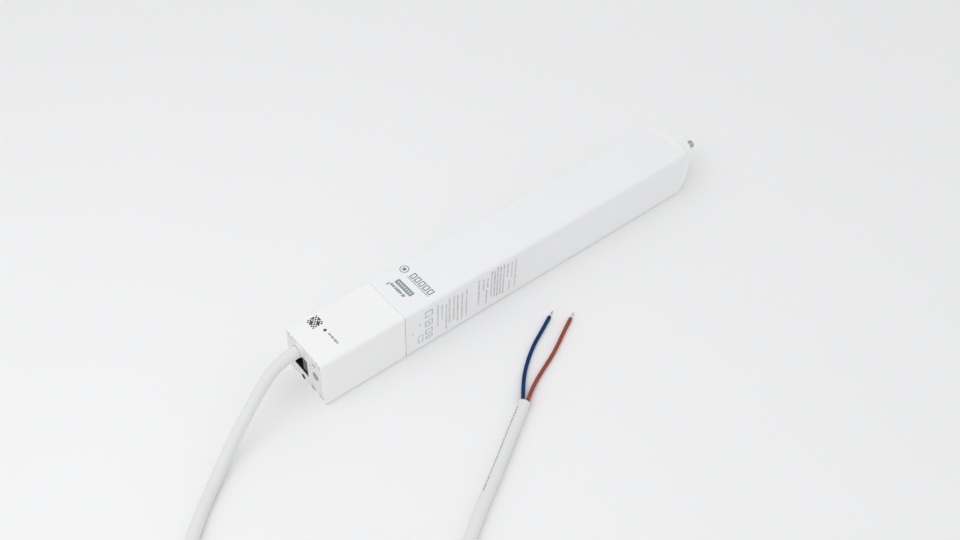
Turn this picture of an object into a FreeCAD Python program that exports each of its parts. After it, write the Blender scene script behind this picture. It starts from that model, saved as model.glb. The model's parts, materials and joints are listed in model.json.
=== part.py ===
import FreeCAD, Part
import math
import os
import re

import Sketcher
from FreeCAD import Placement, Rotation, Vector

# Square curtain track motor with its supply cord.
# It lies along X with its tail, where the cord leaves, towards -X and its drive spindle towards +X.
# It rests on Z = 0, and the origin is under the middle of the motor's length and width.
# Positions along the motor are counted from the tail face and shifted by half_length.

SIZES = [
    ("overall_length", 325.0),
    ("half_length", 162.5),
    ("section_width", 37.2),
    ("section_height", 36.4),
    ("corner_radius", 2.0),
    ("axis_height", 18.2),
    ("wall", 1.6),
    ("web_reach", 25.0),
    ("port_side", 14.1),
    ("port_rise", 13.9),
    ("port_radius", 1.2),
    ("port_room", 0.3),
    ("seam_bevel", 0.35),
    ("tail_length", 58.0),
    ("tail_wall", 1.8),
    ("tongue_length", 6.0),
    ("tongue_width", 14.0),
    ("tongue_thickness", 1.3),
    ("plate_recess", 0.4),
    ("plate_thickness", 2.0),
    ("plate_gap", 0.1),
    ("screw_sink", 0.6),
    ("lug_side", -4.9),
    ("lug_height", 26.5),
    ("lug_width", 2.4),
    ("lug_rise", 3.0),
    ("lug_proud", 0.4),
    ("cord_radius", 3.5),
    ("cord_side", 4.2),
    ("cord_height", 29.6),
    ("gland_collar_radius", 4.8),
    ("gland_body_radius", 4.3),
    ("gland_proud", 2.2),
    ("gland_inner_length", 6.0),
    ("inner_cord_end", 24.0),
    ("clamp_start", 14.0),
    ("clamp_length", 7.0),
    ("clamp_width", 8.6),
    ("clamp_low", 25.0),
    ("socket_side", 7.2),
    ("socket_height", 17.05),
    ("socket_opening_width", 8.8),
    ("socket_opening_height", 12.3),
    ("socket_rim", 0.9),
    ("socket_depth", 16.0),
    ("socket_cavity_depth", 12.5),
    ("notch_depth", 3.6),
    ("notch_height", 3.0),
    ("notch_middle", 12.4),
    ("contact_pitch", 1.1),
    ("contact_width", 0.6),
    ("contact_depth", 0.5),
    ("button_side", -10.0),
    ("button_height", 18.9),
    ("button_radius", 2.6),
    ("button_hole_radius", 2.9),
    ("button_flange_radius", 3.6),
    ("button_proud", 0.4),
    ("button_crown", 0.4),
    ("button_flange_start", 0.4),
    ("button_flange_length", 1.0),
    ("button_stem_radius", 1.2),
    ("button_travel_room", 1.0),
    ("lens_side", -9.4),
    ("lens_height", 28.3),
    ("lens_radius", 1.5),
    ("lens_length", 4.8),
    ("lens_flange_length", 1.0),
    ("lamp_length", 2.7),
    ("lamp_rim_length", 0.8),
    ("reset_side", 4.5),
    ("reset_height", 4.2),
    ("reset_radius", 1.6),
    ("plate_screw_height", 4.5),
    ("inner_screw_side", -6.0),
    ("small_screw_radius", 0.9),
    ("small_head_radius", 1.7),
    ("plate_screw_length", 6.0),
    ("screw_boss_length", 5.0),
    ("screw_boss_half_width", 2.2),
    ("head_radius", 1.9),
    ("head_height", 0.9),
    ("head_room", 0.2),
    ("slot_depth", 0.4),
    ("slot_width", 0.4),
    ("tail_screw_length", 68.0),
    ("cap_screw_length", 26.0),
    ("key_board_start", 10.7),
    ("key_board_thickness", 1.2),
    ("key_board_side", -12.3),
    ("key_board_width", 9.9),
    ("key_board_top", 30.4),
    ("switch_width", 4.6),
    ("switch_depth", 3.2),
    ("plunger_length", 0.9),
    ("plunger_radius", 1.6),
    ("board_thickness", 1.6),
    ("board_half_width", 10.8),
    ("board_height", 4.0),
    ("board_end", 140.0),
    ("main_end", 295.0),
    ("nose_length", 10.0),
    ("nose_start_radius", 25.4),
    ("nose_radius", 13.5),
    ("boss_radius", 13.0),
    ("boss_end", 312.0),
    ("cap_spigot_start", 283.0),
    ("cap_screw_seat", 297.0),
    ("motor_radius", 14.0),
    ("motor_start", 150.0),
    ("motor_length", 64.0),
    ("motor_wall", 1.2),
    ("damper_radius", 16.6),
    ("damper_length", 6.0),
    ("bell_length", 9.0),
    ("bell_flange", 4.0),
    ("brush_start", 154.0),
    ("brush_width", 4.0),
    ("brush_length", 7.0),
    ("brush_thickness", 3.0),
    ("brush_reach", 3.45),
    ("magnet_start", 160.0),
    ("magnet_length", 36.0),
    ("magnet_gap", 6.0),
    ("core_start", 163.0),
    ("core_length", 30.0),
    ("winding_radius", 7.6),
    ("winding_length", 3.0),
    ("commutator_radius", 3.4),
    ("commutator_start", 153.4),
    ("commutator_length", 6.6),
    ("armature_shaft_start", 147.0),
    ("armature_shaft_length", 79.0),
    ("armature_shaft_radius", 1.5),
    ("armature_radius", 9.6),
    ("magnet_inner_radius", 10.4),
    ("running_gap", 0.05),
    ("gearbox_start", 214.0),
    ("ring_length", 30.0),
    ("gear_module", 0.55),
    ("sun_teeth", 12.0),
    ("planet_teeth", 15.0),
    ("ring_teeth", 42.0),
    ("tooth_addendum", 0.8),
    ("tooth_dedendum", 1.15),
    ("tooth_slack", 0.14),
    ("gear_face", 8.0),
    ("planet_pin_radius", 1.25),
    ("carrier_radius", 10.2),
    ("cover_length", 5.0),
    ("cover_bore_radius", 6.0),
    ("output_radius", 4.0),
    ("encoder_start", 252.0),
    ("encoder_length", 4.0),
    ("encoder_radius", 8.0),
    ("sensor_gap", 0.7),
    ("sensor_rise", 1.8),
    ("bush_radius", 7.0),
    ("bush_length", 24.0),
    ("bush_flange_radius", 8.5),
    ("bush_flange_length", 1.5),
    ("mouth_room", 0.6),
    ("spindle_radius", 1.9),
    ("spindle_setback", 0.8),
    ("coupling_start", 313.5),
    ("coupling_radius", 3.0),
    ("coupling_collar", 3.0),
    ("spline_radius", 2.8),
    ("spline_depth", 0.45),
    ("spline_bevel", 0.4),
    ("spline_count", 6.0),
    ("groove_floor", 0.5),
    ("groove_mouth", 0.8),
    ("conductor_radius", 1.2),
    ("strand_radius", 0.6),
    ("motor_lead_radius", 0.8),
    ("coil_outer_radius", 46.5),
    ("coil_pitch", 7.6),
]

# Routes of the cord and its wires: points on the middle line from the motor outwards, from the origin.
CORD_NEAR = [
    (-164.3, 4.2, 29.6),
    (-175.8, 4.2, 29.6),
    (-188.4, 1.2, 27.2),
    (-207.0, -9.2, 20.2),
    (-223.2, -16.4, 8.6),
    (-239.5, -26.3, 3.5),
    (-261.0, -43.7, 3.5),
    (-283.4, -68.2, 3.5),
    (-297.0, -103.0, 3.5),
    (-297.0, -135.0, 3.5),
]
CORD_FAR = [
    (-224.5, -181.2, 11.1),
    (-210.0, -174.4, 11.1),
    (-186.7, -160.9, 6.4),
    (-166.1, -147.5, 3.5),
    (-142.1, -130.9, 3.5),
    (-116.2, -116.2, 3.5),
    (-92.3, -101.5, 3.5),
    (-72.4, -89.8, 3.5),
]
BLUE_ROUTE = [
    (-72.6, -88.5, 3.9),
    (-67.1, -82.3, 2.4),
    (-56.1, -71.1, 1.2),
    (-40.1, -60.1, 1.2),
    (-25.5, -53.3, 1.2),
    (-16.0, -48.8, 1.2),
]
BROWN_ROUTE = [
    (-71.5, -90.7, 3.2),
    (-63.3, -84.9, 2.2),
    (-49.5, -78.1, 1.2),
    (-32.4, -71.5, 1.2),
    (-16.1, -62.6, 1.2),
    (-5.8, -57.5, 1.2),
]
TIP_LENGTH = 6.0
# The two wires inside the tail, counted from the tail face.
INNER_WIRES = [
    [(24.2, 2.9, 29.6), (33.0, 1.8, 29.6), (44.0, -2.8, 27.0), (49.0, -5.0, 20.5), (49.0, -5.0, 13.6)],
    [(24.2, 5.5, 29.6), (33.0, 5.3, 29.6), (44.4, 3.4, 27.0), (49.0, 1.0, 20.5), (49.0, 1.0, 13.6)],
]
# The motor's pair, from the board's end to the motor's end bell, one each side of the middle.
MOTOR_LEAD_SIDES = (-4.0, 4.0)
MOTOR_LEAD = [(134.0, 6.4), (140.0, 6.6), (143.4, 9.6), (145.6, 10.8)]
COIL_CENTRE = (-250.5, -142.0)
COIL_START_TURN = 180.0
COIL_QUARTERS_PER_LAYER = 8
COIL_LAST_TURN = 295.0

doc = FreeCAD.newDocument("CurtainTrackMotor")
sheet = doc.addObject("Spreadsheet::Sheet", "sizes")
for row_number, (alias, number) in enumerate(SIZES, start=1):
    sheet.set("A%d" % row_number, alias)
    sheet.set("B%d" % row_number, str(number))
    sheet.setAlias("B%d" % row_number, alias)
doc.recompute()

nodes = {}


def size(alias):
    """The sheet's value for one alias."""
    return float(getattr(sheet, alias))


def bound(formula):
    """A formula in plain aliases, pointed at the sheet."""
    return re.sub(r"[a-z]\w*", r"sizes.\g<0>", formula)


def keep(label, thing):
    """Give a finished sub-part its own name and put it on the list to write."""
    thing.Label = label
    nodes[label] = thing
    return thing


def place(thing, x, y, z):
    """Bind a thing's place: x from the tail face, y and z from the origin."""
    thing.setExpression("Placement.Base.x", bound("%s - half_length" % x))
    thing.setExpression("Placement.Base.y", bound(y))
    thing.setExpression("Placement.Base.z", bound(z))


# Primitive helpers

def rod(name, radius, length, x, y="0", z="axis_height"):
    """A round bar along X."""
    bar = doc.addObject("Part::Cylinder", name)
    bar.setExpression("Radius", bound(radius))
    bar.setExpression("Height", bound(length))
    bar.Placement = Placement(Vector(), Rotation(Vector(0, 1, 0), 90))
    place(bar, x, y, z)
    return bar


def taper(name, start_radius, end_radius, length, x, y="0", z="axis_height"):
    """A cone's slice along X."""
    cone = doc.addObject("Part::Cone", name)
    cone.setExpression("Radius1", bound(start_radius))
    cone.setExpression("Radius2", bound(end_radius))
    cone.setExpression("Height", bound(length))
    cone.Placement = Placement(Vector(), Rotation(Vector(0, 1, 0), 90))
    place(cone, x, y, z)
    return cone


def block(name, length, width, height, x, y, z):
    """A box from its low corner."""
    box = doc.addObject("Part::Box", name)
    box.setExpression("Length", bound(length))
    box.setExpression("Width", bound(width))
    box.setExpression("Height", bound(height))
    place(box, x, y, z)
    return box


def join(name, pieces):
    fused = doc.addObject("Part::MultiFuse", name)
    fused.Shapes = pieces
    return fused


def cut(name, base, tools):
    """Take one or more tools away from a base."""
    tool = tools[0] if len(tools) == 1 else join(name + "_tools", tools)
    result = doc.addObject("Part::Cut", name)
    result.Base = base
    result.Tool = tool
    return result


def group(name, pieces):
    """Separate solids that share one node."""
    compound = doc.addObject("Part::Compound", name)
    compound.Links = pieces
    return compound


def tube(name, outer, inner, length, x, y="0", z="axis_height"):
    """A round sleeve along X."""
    wall = rod(name + "_outside", outer, length, x, y, z)
    bore = rod(name + "_bore", inner, "%s + 2" % length, "%s - 1" % x, y, z)
    return cut(name, wall, [bore])


# Sketch helpers: a section lies across the motor, with its own x along +Y and its own y along +Z

def new_body(name):
    body = doc.addObject("PartDesign::Body", name)
    place(body, "0", "0", "0")
    return body


def section(body, name, x, role="YZ_Plane"):
    sketch = body.newObject("Sketcher::SketchObject", name)
    plane = [feature for feature in body.Origin.OriginFeatures if feature.Role == role][0]
    sketch.AttachmentSupport = [(plane, "")]
    sketch.MapMode = "FlatFace"
    sketch.setExpression("AttachmentOffset.Base.z", bound(x))
    return sketch


def fix_point(sketch, curve, point, across, up):
    """Hold one point of a curve at bound distances from the sketch's origin."""
    for kind, formula in (("DistanceX", across), ("DistanceY", up)):
        number = sketch.addConstraint(Sketcher.Constraint(kind, -1, 1, curve, point, 1.0))
        sketch.setExpression("Constraints[%d]" % number, bound(formula))


def add_circle(sketch, radius, across, up):
    curve = sketch.addGeometry(Part.Circle(Vector(1, 1, 0), Vector(0, 0, 1), 2.0))
    number = sketch.addConstraint(Sketcher.Constraint("Radius", curve, 2.0))
    sketch.setExpression("Constraints[%d]" % number, bound(radius))
    fix_point(sketch, curve, 3, across, up)


def add_polygon(sketch, corners):
    """A closed outline whose every corner is bound to the sheet."""
    count = len(corners)
    ring = [
        Vector(9 * math.cos(2 * math.pi * i / count), 9 * math.sin(2 * math.pi * i / count), 0)
        for i in range(count)
    ]
    first = sketch.GeometryCount
    for i in range(count):
        sketch.addGeometry(Part.LineSegment(ring[i], ring[(i + 1) % count]))
    for i in range(count):
        following = first + (i + 1) % count
        sketch.addConstraint(Sketcher.Constraint("Coincident", first + i, 2, following, 1))
    for i, (across, up) in enumerate(corners):
        fix_point(sketch, first + i, 1, across, up)


def add_rectangle(sketch, width, height, across, up):
    low_y = "%s - (%s) / 2" % (across, width)
    high_y = "%s + (%s) / 2" % (across, width)
    low_z = "%s - (%s) / 2" % (up, height)
    high_z = "%s + (%s) / 2" % (up, height)
    add_polygon(sketch, [(low_y, low_z), (high_y, low_z), (high_y, high_z), (low_y, high_z)])


def add_octagon(sketch, half_width, half_height, reach, clear="0"):
    """The room inside the housing: a rectangle whose corners are filled by the screw webs."""
    wide = "%s - %s" % (half_width, clear)
    tall = "%s - %s" % (half_height, clear)
    narrow = "%s - (%s)" % (reach, tall)
    low = "%s - (%s)" % (reach, wide)
    corners = [
        (wide, "axis_height + (%s)" % low),
        (narrow, "axis_height + (%s)" % tall),
        ("-(%s)" % narrow, "axis_height + (%s)" % tall),
        ("-(%s)" % wide, "axis_height + (%s)" % low),
        ("-(%s)" % wide, "axis_height - (%s)" % low),
        ("-(%s)" % narrow, "axis_height - (%s)" % tall),
        (narrow, "axis_height - (%s)" % tall),
        (wide, "axis_height - (%s)" % low),
    ]
    add_polygon(sketch, corners)


def pad(body, name, sketch, length):
    feature = body.newObject("PartDesign::Pad", name)
    feature.Profile = sketch
    feature.setExpression("Length", bound(length))
    body.Tip = feature
    return feature


def long_edges(shape, across, up):
    """Names of the straight edges along X that lie at one distance from the motor's middle."""
    names = []
    for number, edge in enumerate(shape.Edges, start=1):
        low, high = edge.Vertexes[0].Point, edge.Vertexes[-1].Point
        along = abs(high.x - low.x) > 1.0 and abs(high.y - low.y) < 1e-6 and abs(high.z - low.z) < 1e-6
        if along and abs(abs(low.y) - across) < 1e-3 and abs(abs(low.z - size("axis_height")) - up) < 1e-3:
            names.append("Edge%d" % number)
    return names


def rim_edges(shape, x):
    """Names of the edges that lie flat in the outer rim of one cross plane."""
    names = []
    for number, edge in enumerate(shape.Edges, start=1):
        box = edge.BoundBox
        if box.XLength > 1e-3 or abs(box.XMin - x) > 1e-3:
            continue
        outside = max(abs(box.YMin), abs(box.YMax)) > size("section_width") / 2 - 2.5
        above = max(abs(box.ZMin - size("axis_height")), abs(box.ZMax - size("axis_height")))
        if outside or above > size("section_height") / 2 - 2.5:
            names.append("Edge%d" % number)
    return names


def round_edges(body, name, base, edges, radius):
    fillet = body.newObject("PartDesign::Fillet", name)
    fillet.Base = (base, edges)
    fillet.setExpression("Radius", bound(radius))
    body.Tip = fillet
    return fillet


def bevel_edges(body, name, base, edges, width):
    bevel = body.newObject("PartDesign::Chamfer", name)
    bevel.Base = (base, edges)
    bevel.setExpression("Size", bound(width))
    body.Tip = bevel
    return bevel


# Housing

def screw_ports(sketch, radius):
    """One round port in each corner web."""
    for side in ("port_side", "-port_side"):
        for rise in ("axis_height + port_rise", "axis_height - port_rise"):
            add_circle(sketch, radius, side, rise)


def make_main_housing():
    """Extruded tube: rounded outside, octagonal room, a screw port in each corner web."""
    body = new_body("MainHousing")
    profile = section(body, "MainHousingProfile", "tail_length")
    add_rectangle(profile, "section_width", "section_height", "0", "axis_height")
    add_octagon(profile, "section_width / 2 - wall", "section_height / 2 - wall", "web_reach")
    screw_ports(profile, "port_radius")
    tube_pad = pad(body, "MainHousingTube", profile, "main_end - tail_length")
    doc.recompute()
    corners = long_edges(tube_pad.Shape, size("section_width") / 2, size("section_height") / 2)
    rounded = round_edges(body, "MainHousingCorners", tube_pad, corners, "corner_radius")
    doc.recompute()
    rims = rim_edges(rounded.Shape, size("tail_length"))
    rims += rim_edges(rounded.Shape, size("main_end"))
    bevel_edges(body, "MainHousingSeams", rounded, rims, "seam_bevel")
    keep("main_housing", body)


# How deep the tongues are rooted in the tail's walls.
TONGUE_ROOT = 4


def make_tail_housing():
    """Moulded end box: recess for the end plate, corner webs, four tongues into the main tube."""
    body = new_body("TailHousing")
    rim = section(body, "TailRim", "0")
    add_rectangle(rim, "section_width", "section_height", "0", "axis_height")
    width = "section_width - 2 * tail_wall"
    height = "section_height - 2 * tail_wall"
    add_rectangle(rim, width, height, "0", "axis_height")
    pad(body, "TailRimPad", rim, "plate_recess + plate_thickness")
    box = section(body, "TailBox", "plate_recess + plate_thickness")
    add_rectangle(box, "section_width", "section_height", "0", "axis_height")
    add_octagon(box, "section_width / 2 - tail_wall", "section_height / 2 - tail_wall", "web_reach")
    screw_ports(box, "port_radius + port_room")
    walls = pad(body, "TailBoxPad", box, "tail_length - plate_recess - plate_thickness")
    doc.recompute()
    corners = long_edges(walls.Shape, size("section_width") / 2, size("section_height") / 2)
    rounded = round_edges(body, "TailCorners", walls, corners, "corner_radius")
    doc.recompute()
    seam_rim = rim_edges(rounded.Shape, size("tail_length"))
    seam = bevel_edges(body, "TailSeam", rounded, seam_rim, "seam_bevel")
    doc.recompute()
    bevel_edges(body, "TailRimBevel", seam, rim_edges(seam.Shape, 0.0), "seam_bevel * 1.5")
    tongues = section(body, "TailTongues", "tail_length - %s" % TONGUE_ROOT)
    deep = "section_width / 2 - wall - plate_gap - tongue_thickness / 2"
    high = "section_height / 2 - wall - plate_gap - tongue_thickness / 2"
    for sign in ("", "-"):
        add_rectangle(tongues, "tongue_thickness", "tongue_width", "%s(%s)" % (sign, deep), "axis_height")
        up = "axis_height + %s(%s)" % (sign, high)
        add_rectangle(tongues, "tongue_width", "tongue_thickness", "0", up)
    pad(body, "TailTonguePad", tongues, "tongue_length + %s" % TONGUE_ROOT)
    screw_boss = section(body, "PlateScrewBoss", "plate_recess + plate_thickness")
    low = "tail_wall / 2"
    high_edge = "plate_screw_height + 2 * small_screw_radius"
    left = "inner_screw_side - screw_boss_half_width"
    right = "inner_screw_side + screw_boss_half_width"
    add_polygon(screw_boss, [(left, low), (right, low), (right, high_edge), (left, high_edge)])
    add_circle(screw_boss, "small_screw_radius", "inner_screw_side", "plate_screw_height")
    pad(body, "PlateScrewBossPad", screw_boss, "screw_boss_length")
    keep("tail_housing", body)


def make_end_plate():
    """Flat plate in the tail's mouth: its openings, sinks for the screw heads and one raised lug."""
    body = new_body("EndPlate")
    face = section(body, "EndPlateFace", "plate_recess")
    width = "section_width - 2 * tail_wall - 2 * plate_gap"
    height = "section_height - 2 * tail_wall - 2 * plate_gap"
    add_rectangle(face, width, height, "0", "axis_height")
    add_circle(face, "gland_body_radius", "cord_side", "cord_height")
    add_circle(face, "button_hole_radius", "button_side", "button_height")
    add_circle(face, "lens_radius", "lens_side", "lens_height")
    add_circle(face, "reset_radius", "reset_side", "reset_height")
    add_circle(face, "small_screw_radius + head_room", "inner_screw_side", "plate_screw_height")
    screw_ports(face, "port_radius + port_room")
    socket_width = "socket_opening_width + notch_depth + 2 * socket_rim"
    socket_height = "socket_opening_height + 2 * socket_rim"
    add_rectangle(face, socket_width, socket_height, "socket_side - notch_depth / 2", "socket_height")
    pad(body, "EndPlatePad", face, "plate_thickness")
    sinks = section(body, "EndPlateSinks", "plate_recess")
    screw_ports(sinks, "head_radius + head_room")
    add_circle(sinks, "small_head_radius + head_room", "inner_screw_side", "plate_screw_height")
    sink_cut = body.newObject("PartDesign::Pocket", "EndPlateSinkCut")
    sink_cut.Profile = sinks
    sink_cut.setExpression("Length", bound("screw_sink"))
    sink_cut.Reversed = True
    lug = section(body, "EndPlateLug", "plate_recess - lug_proud")
    add_rectangle(lug, "lug_width", "lug_rise", "lug_side", "lug_height")
    lug_pad = pad(body, "EndPlateLugPad", lug, "2 * lug_proud")
    doc.recompute()
    lug_front = size("plate_recess") - size("lug_proud")
    lug_rim = []
    for number, edge in enumerate(lug_pad.Shape.Edges, start=1):
        box = edge.BoundBox
        if box.XLength < 1e-3 and abs(box.XMin - lug_front) < 1e-3:
            lug_rim.append("Edge%d" % number)
    round_edges(body, "EndPlateLugRound", lug_pad, lug_rim, "lug_proud * 0.6")
    keep("end_plate", body)


def pan_screw(name, head_radius, shank_radius, length, x, y, z, backwards=False):
    """A pan head screw with a cross slot, its head's seat at x; it points along +X unless backwards."""
    if backwards:
        head = taper(name + "_head", head_radius, "%s * 0.75" % head_radius, "head_height", x, y, z)
        shank = rod(name + "_shank", shank_radius, length, "%s - (%s)" % (x, length), y, z)
        slot_x = "%s + head_height - slot_depth" % x
    else:
        front = "%s - head_height" % x
        head = taper(name + "_head", "%s * 0.75" % head_radius, head_radius, "head_height", front, y, z)
        shank = rod(name + "_shank", shank_radius, length, x, y, z)
        slot_x = "%s - head_height - slot_depth * 0.2" % x
    solid = join(name + "_solid", [head, shank])
    long_way = "%s * 1.1" % head_radius
    slots = []
    for number, (wide, tall) in enumerate(((long_way, "slot_width"), ("slot_width", long_way))):
        low_y = "%s - (%s) / 2" % (y, wide)
        low_z = "%s - (%s) / 2" % (z, tall)
        slot_name = "%s_slot_%d" % (name, number)
        slots.append(block(slot_name, "slot_depth * 1.2", wide, tall, slot_x, low_y, low_z))
    return cut(name, solid, slots)


def corner_places():
    """The four screw ports, as formulas for y and z."""
    sides = ("port_side", "-port_side")
    rises = ("axis_height + port_rise", "axis_height - port_rise")
    return [(side, rise) for side in sides for rise in rises]


def make_end_plate_screw():
    screw = pan_screw(
        "EndPlateScrew", "small_head_radius", "small_screw_radius", "plate_screw_length",
        "(plate_recess + screw_sink)", "inner_screw_side", "plate_screw_height",
    )
    keep("end_plate_screw", screw)


def make_tail_screws():
    """Four long screws through the end plate and the tail's webs into the main tube's ports."""
    screws = []
    for side, rise in corner_places():
        name = "TailScrew%d" % len(screws)
        seat = "(plate_recess + screw_sink)"
        screws.append(pan_screw(name, "head_radius", "port_radius", "tail_screw_length", seat, side, rise))
    keep("tail_screws", group("TailScrews", screws))


def make_drive_end_screws():
    """Four screws through the drive end cap into the main tube's ports."""
    screws = []
    for side, rise in corner_places():
        screw = pan_screw(
            "DriveEndScrew%d" % len(screws), "head_radius", "port_radius", "cap_screw_length",
            "cap_screw_seat", side, rise, backwards=True,
        )
        screws.append(screw)
    keep("drive_end_screws", group("DriveEndScrews", screws))


# Pieces in the tail

def make_cord_gland():
    """Tapered collar with a body that snaps through the end plate."""
    side, up = "cord_side", "cord_height"
    outer = "plate_recess - gland_proud"
    collar = taper(
        "GlandCollar", "gland_collar_radius - 0.7", "gland_collar_radius", "gland_proud", outer, side, up
    )
    body = rod("GlandBody", "gland_body_radius", "gland_inner_length", "plate_recess", side, up)
    ring_start = "plate_recess + plate_thickness"
    ring = rod("GlandSnapRing", "gland_body_radius + 0.4", "1.2", ring_start, side, up)
    length = "gland_proud + gland_inner_length + 2"
    bore = rod("GlandBore", "cord_radius", length, "%s - 1" % outer, side, up)
    keep("cord_gland", cut("CordGland", join("GlandSolid", [collar, body, ring]), [bore]))


def make_control_socket():
    """Modular socket lying on its side: a cavity with a latch notch towards -Y, and feet on the board."""
    width = "(socket_opening_width + notch_depth + 2 * socket_rim)"
    height = "(socket_opening_height + 2 * socket_rim)"
    low_side = "socket_side - socket_opening_width / 2"
    low_height = "socket_height - socket_opening_height / 2"
    shell = block(
        "SocketShell", "socket_depth", width, height,
        "plate_recess", "%s - notch_depth - socket_rim" % low_side, "%s - socket_rim" % low_height,
    )
    feet = block(
        "SocketFeet", "plate_recess + socket_depth - key_board_start - board_thickness",
        "board_half_width - 1", "%s - socket_rim - board_height - board_thickness + 0.5" % low_height,
        "key_board_start + board_thickness", "0", "board_height + board_thickness",
    )
    cavity = block(
        "SocketCavity", "socket_cavity_depth + 1", "socket_opening_width", "socket_opening_height",
        "plate_recess - 1", low_side, low_height,
    )
    notch = block(
        "SocketNotch", "socket_cavity_depth + 1", "notch_depth + 1", "notch_height",
        "plate_recess - 1", "%s - notch_depth" % low_side, "notch_middle - notch_height / 2",
    )
    keep("control_socket", cut("ControlSocket", join("SocketSolid", [shell, feet]), [cavity, notch]))
    contacts = []
    for number in range(8):
        up = "socket_height + %s * contact_pitch - contact_width / 2" % (number - 3.5)
        contacts.append(
            block(
                "SocketContact%d" % number, "socket_cavity_depth - 2", "contact_depth", "contact_width",
                "plate_recess + 2", "%s + socket_opening_width - contact_depth" % low_side, up,
            )
        )
    keep("socket_contacts", group("SocketContacts", contacts))


def make_program_button():
    """Round cap through the end plate, kept in by its flange, with a stem towards the switch."""
    side, up = "button_side", "button_height"
    front = "plate_recess - button_proud"
    back = "plate_recess + plate_thickness + button_flange_start"
    crown_radius = "button_radius - button_crown"
    crown = taper("ButtonCrown", crown_radius, "button_radius", "button_crown", front, side, up)
    cap_start = "%s + button_crown" % front
    cap = rod("ButtonCap", "button_radius", "%s - (%s)" % (back, cap_start), cap_start, side, up)
    flange = rod("ButtonFlange", "button_flange_radius", "button_flange_length", back, side, up)
    stem_start = "%s + button_flange_length" % back
    stem_end = "key_board_start - switch_depth - plunger_length - button_travel_room"
    stem_length = "%s - (%s)" % (stem_end, stem_start)
    stem = rod("ButtonStem", "button_stem_radius", stem_length, stem_start, side, up)
    keep("program_button", join("ProgramButton", [crown, cap, flange, stem]))


def make_status_light():
    """Light pipe through the end plate, with its lamp on the key board behind it."""
    side, up = "lens_side", "lens_height"
    pipe = rod("LensPipe", "lens_radius", "lens_length", "plate_recess", side, up)
    flange_start = "plate_recess + plate_thickness"
    flange = rod("LensFlange", "lens_radius + 0.7", "lens_flange_length", flange_start, side, up)
    keep("status_lens", join("StatusLens", [pipe, flange]))
    lamp_start = "key_board_start - lamp_length"
    lamp = rod("LampBody", "lens_radius", "lamp_length", lamp_start, side, up)
    dome = doc.addObject("Part::Sphere", "LampDome")
    dome.setExpression("Radius", bound("lens_radius"))
    place(dome, lamp_start, side, up)
    rim_start = "key_board_start - lamp_rim_length"
    rim = rod("LampRim", "lens_radius + 0.3", "lamp_rim_length", rim_start, side, up)
    keep("status_lamp", join("StatusLamp", [lamp, dome, rim]))


def make_key_board():
    """Small upright board behind the end plate, with the push switch on it."""
    low = "board_height + board_thickness"
    upright = block(
        "KeyBoard", "key_board_thickness", "key_board_width", "key_board_top - (%s)" % low,
        "key_board_start", "key_board_side", low,
    )
    keep("key_board", upright)
    start = "key_board_start - switch_depth"
    low_side = "button_side - switch_width / 2"
    low_height = "button_height - switch_width / 2"
    body = block("SwitchBody", "switch_depth", "switch_width", "switch_width", start, low_side, low_height)
    plunger_start = "%s - plunger_length" % start
    plunger = rod(
        "SwitchPlunger", "plunger_radius", "plunger_length", plunger_start, "button_side", "button_height"
    )
    keep("push_switch", join("PushSwitch", [body, plunger]))


# Supply cord inside the housing and the electronics

def make_cord_clamp():
    """Block under the tail's roof that grips the cord behind the gland."""
    grip = block(
        "ClampBlock", "clamp_length", "clamp_width", "section_height - tail_wall - clamp_low",
        "clamp_start", "cord_side - clamp_width / 2", "clamp_low",
    )
    bore = rod("ClampBore", "cord_radius", "clamp_length + 2", "clamp_start - 1", "cord_side", "cord_height")
    keep("cord_clamp", cut("CordClamp", grip, [bore]))


def make_main_board():
    board = block(
        "MainBoard", "board_end - key_board_start", "2 * board_half_width", "board_thickness",
        "key_board_start", "-board_half_width", "board_height",
    )
    keep("main_board", board)


# Top of the main board, where its components stand.
BOARD_TOP = "board_height + board_thickness"


def make_terminal_block():
    """Clamp block where the supply wires end, entered from above, with its screws at the side."""
    start, length, side, width, rise = 44, 10, -8, 12, 11
    entry_depth = 3
    body = block("TerminalBody", str(length), str(width), str(rise), str(start), str(side), BOARD_TOP)
    wire_holes = []
    screw_holes = []
    for number in range(2):
        across = str(side + width * (2 * number + 1) / 4)
        hole = doc.addObject("Part::Cylinder", "TerminalHole%d" % number)
        hole.setExpression("Radius", bound("conductor_radius"))
        hole.Height = entry_depth + 1
        place(hole, str(start + length / 2), across, "%s + %s" % (BOARD_TOP, rise - entry_depth))
        wire_holes.append(hole)
        screw_height = "%s + %s" % (BOARD_TOP, rise * 0.6)
        screw_holes.append(
            rod("TerminalScrewHole%d" % number, "1.3", "2", str(start - 1), across, screw_height)
        )
    keep("terminal_block", cut("TerminalBlock", body, wire_holes + screw_holes))


def make_fuse():
    """Glass tube fuse lying between two caps on short feet."""
    start, length, side = 60, 20, "-6"
    cap_length, cap_radius, glass_radius = 5, 2.7, 2.4
    foot_width = 3
    up = "%s + 3.4" % BOARD_TOP
    pieces = [rod("FuseGlass", str(glass_radius), str(length), str(start), side, up)]
    for number, x in enumerate((start, start + length - cap_length)):
        pieces.append(rod("FuseCap%d" % number, str(cap_radius), str(cap_length), str(x), side, up))
        low_side = "%s - %s" % (side, foot_width / 2)
        foot_start = str(x + (cap_length - foot_width) / 2)
        foot_name = "FuseFoot%d" % number
        width = str(foot_width)
        pieces.append(block(foot_name, width, width, "2", foot_start, low_side, BOARD_TOP))
    keep("fuse", join("Fuse", pieces))


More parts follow.
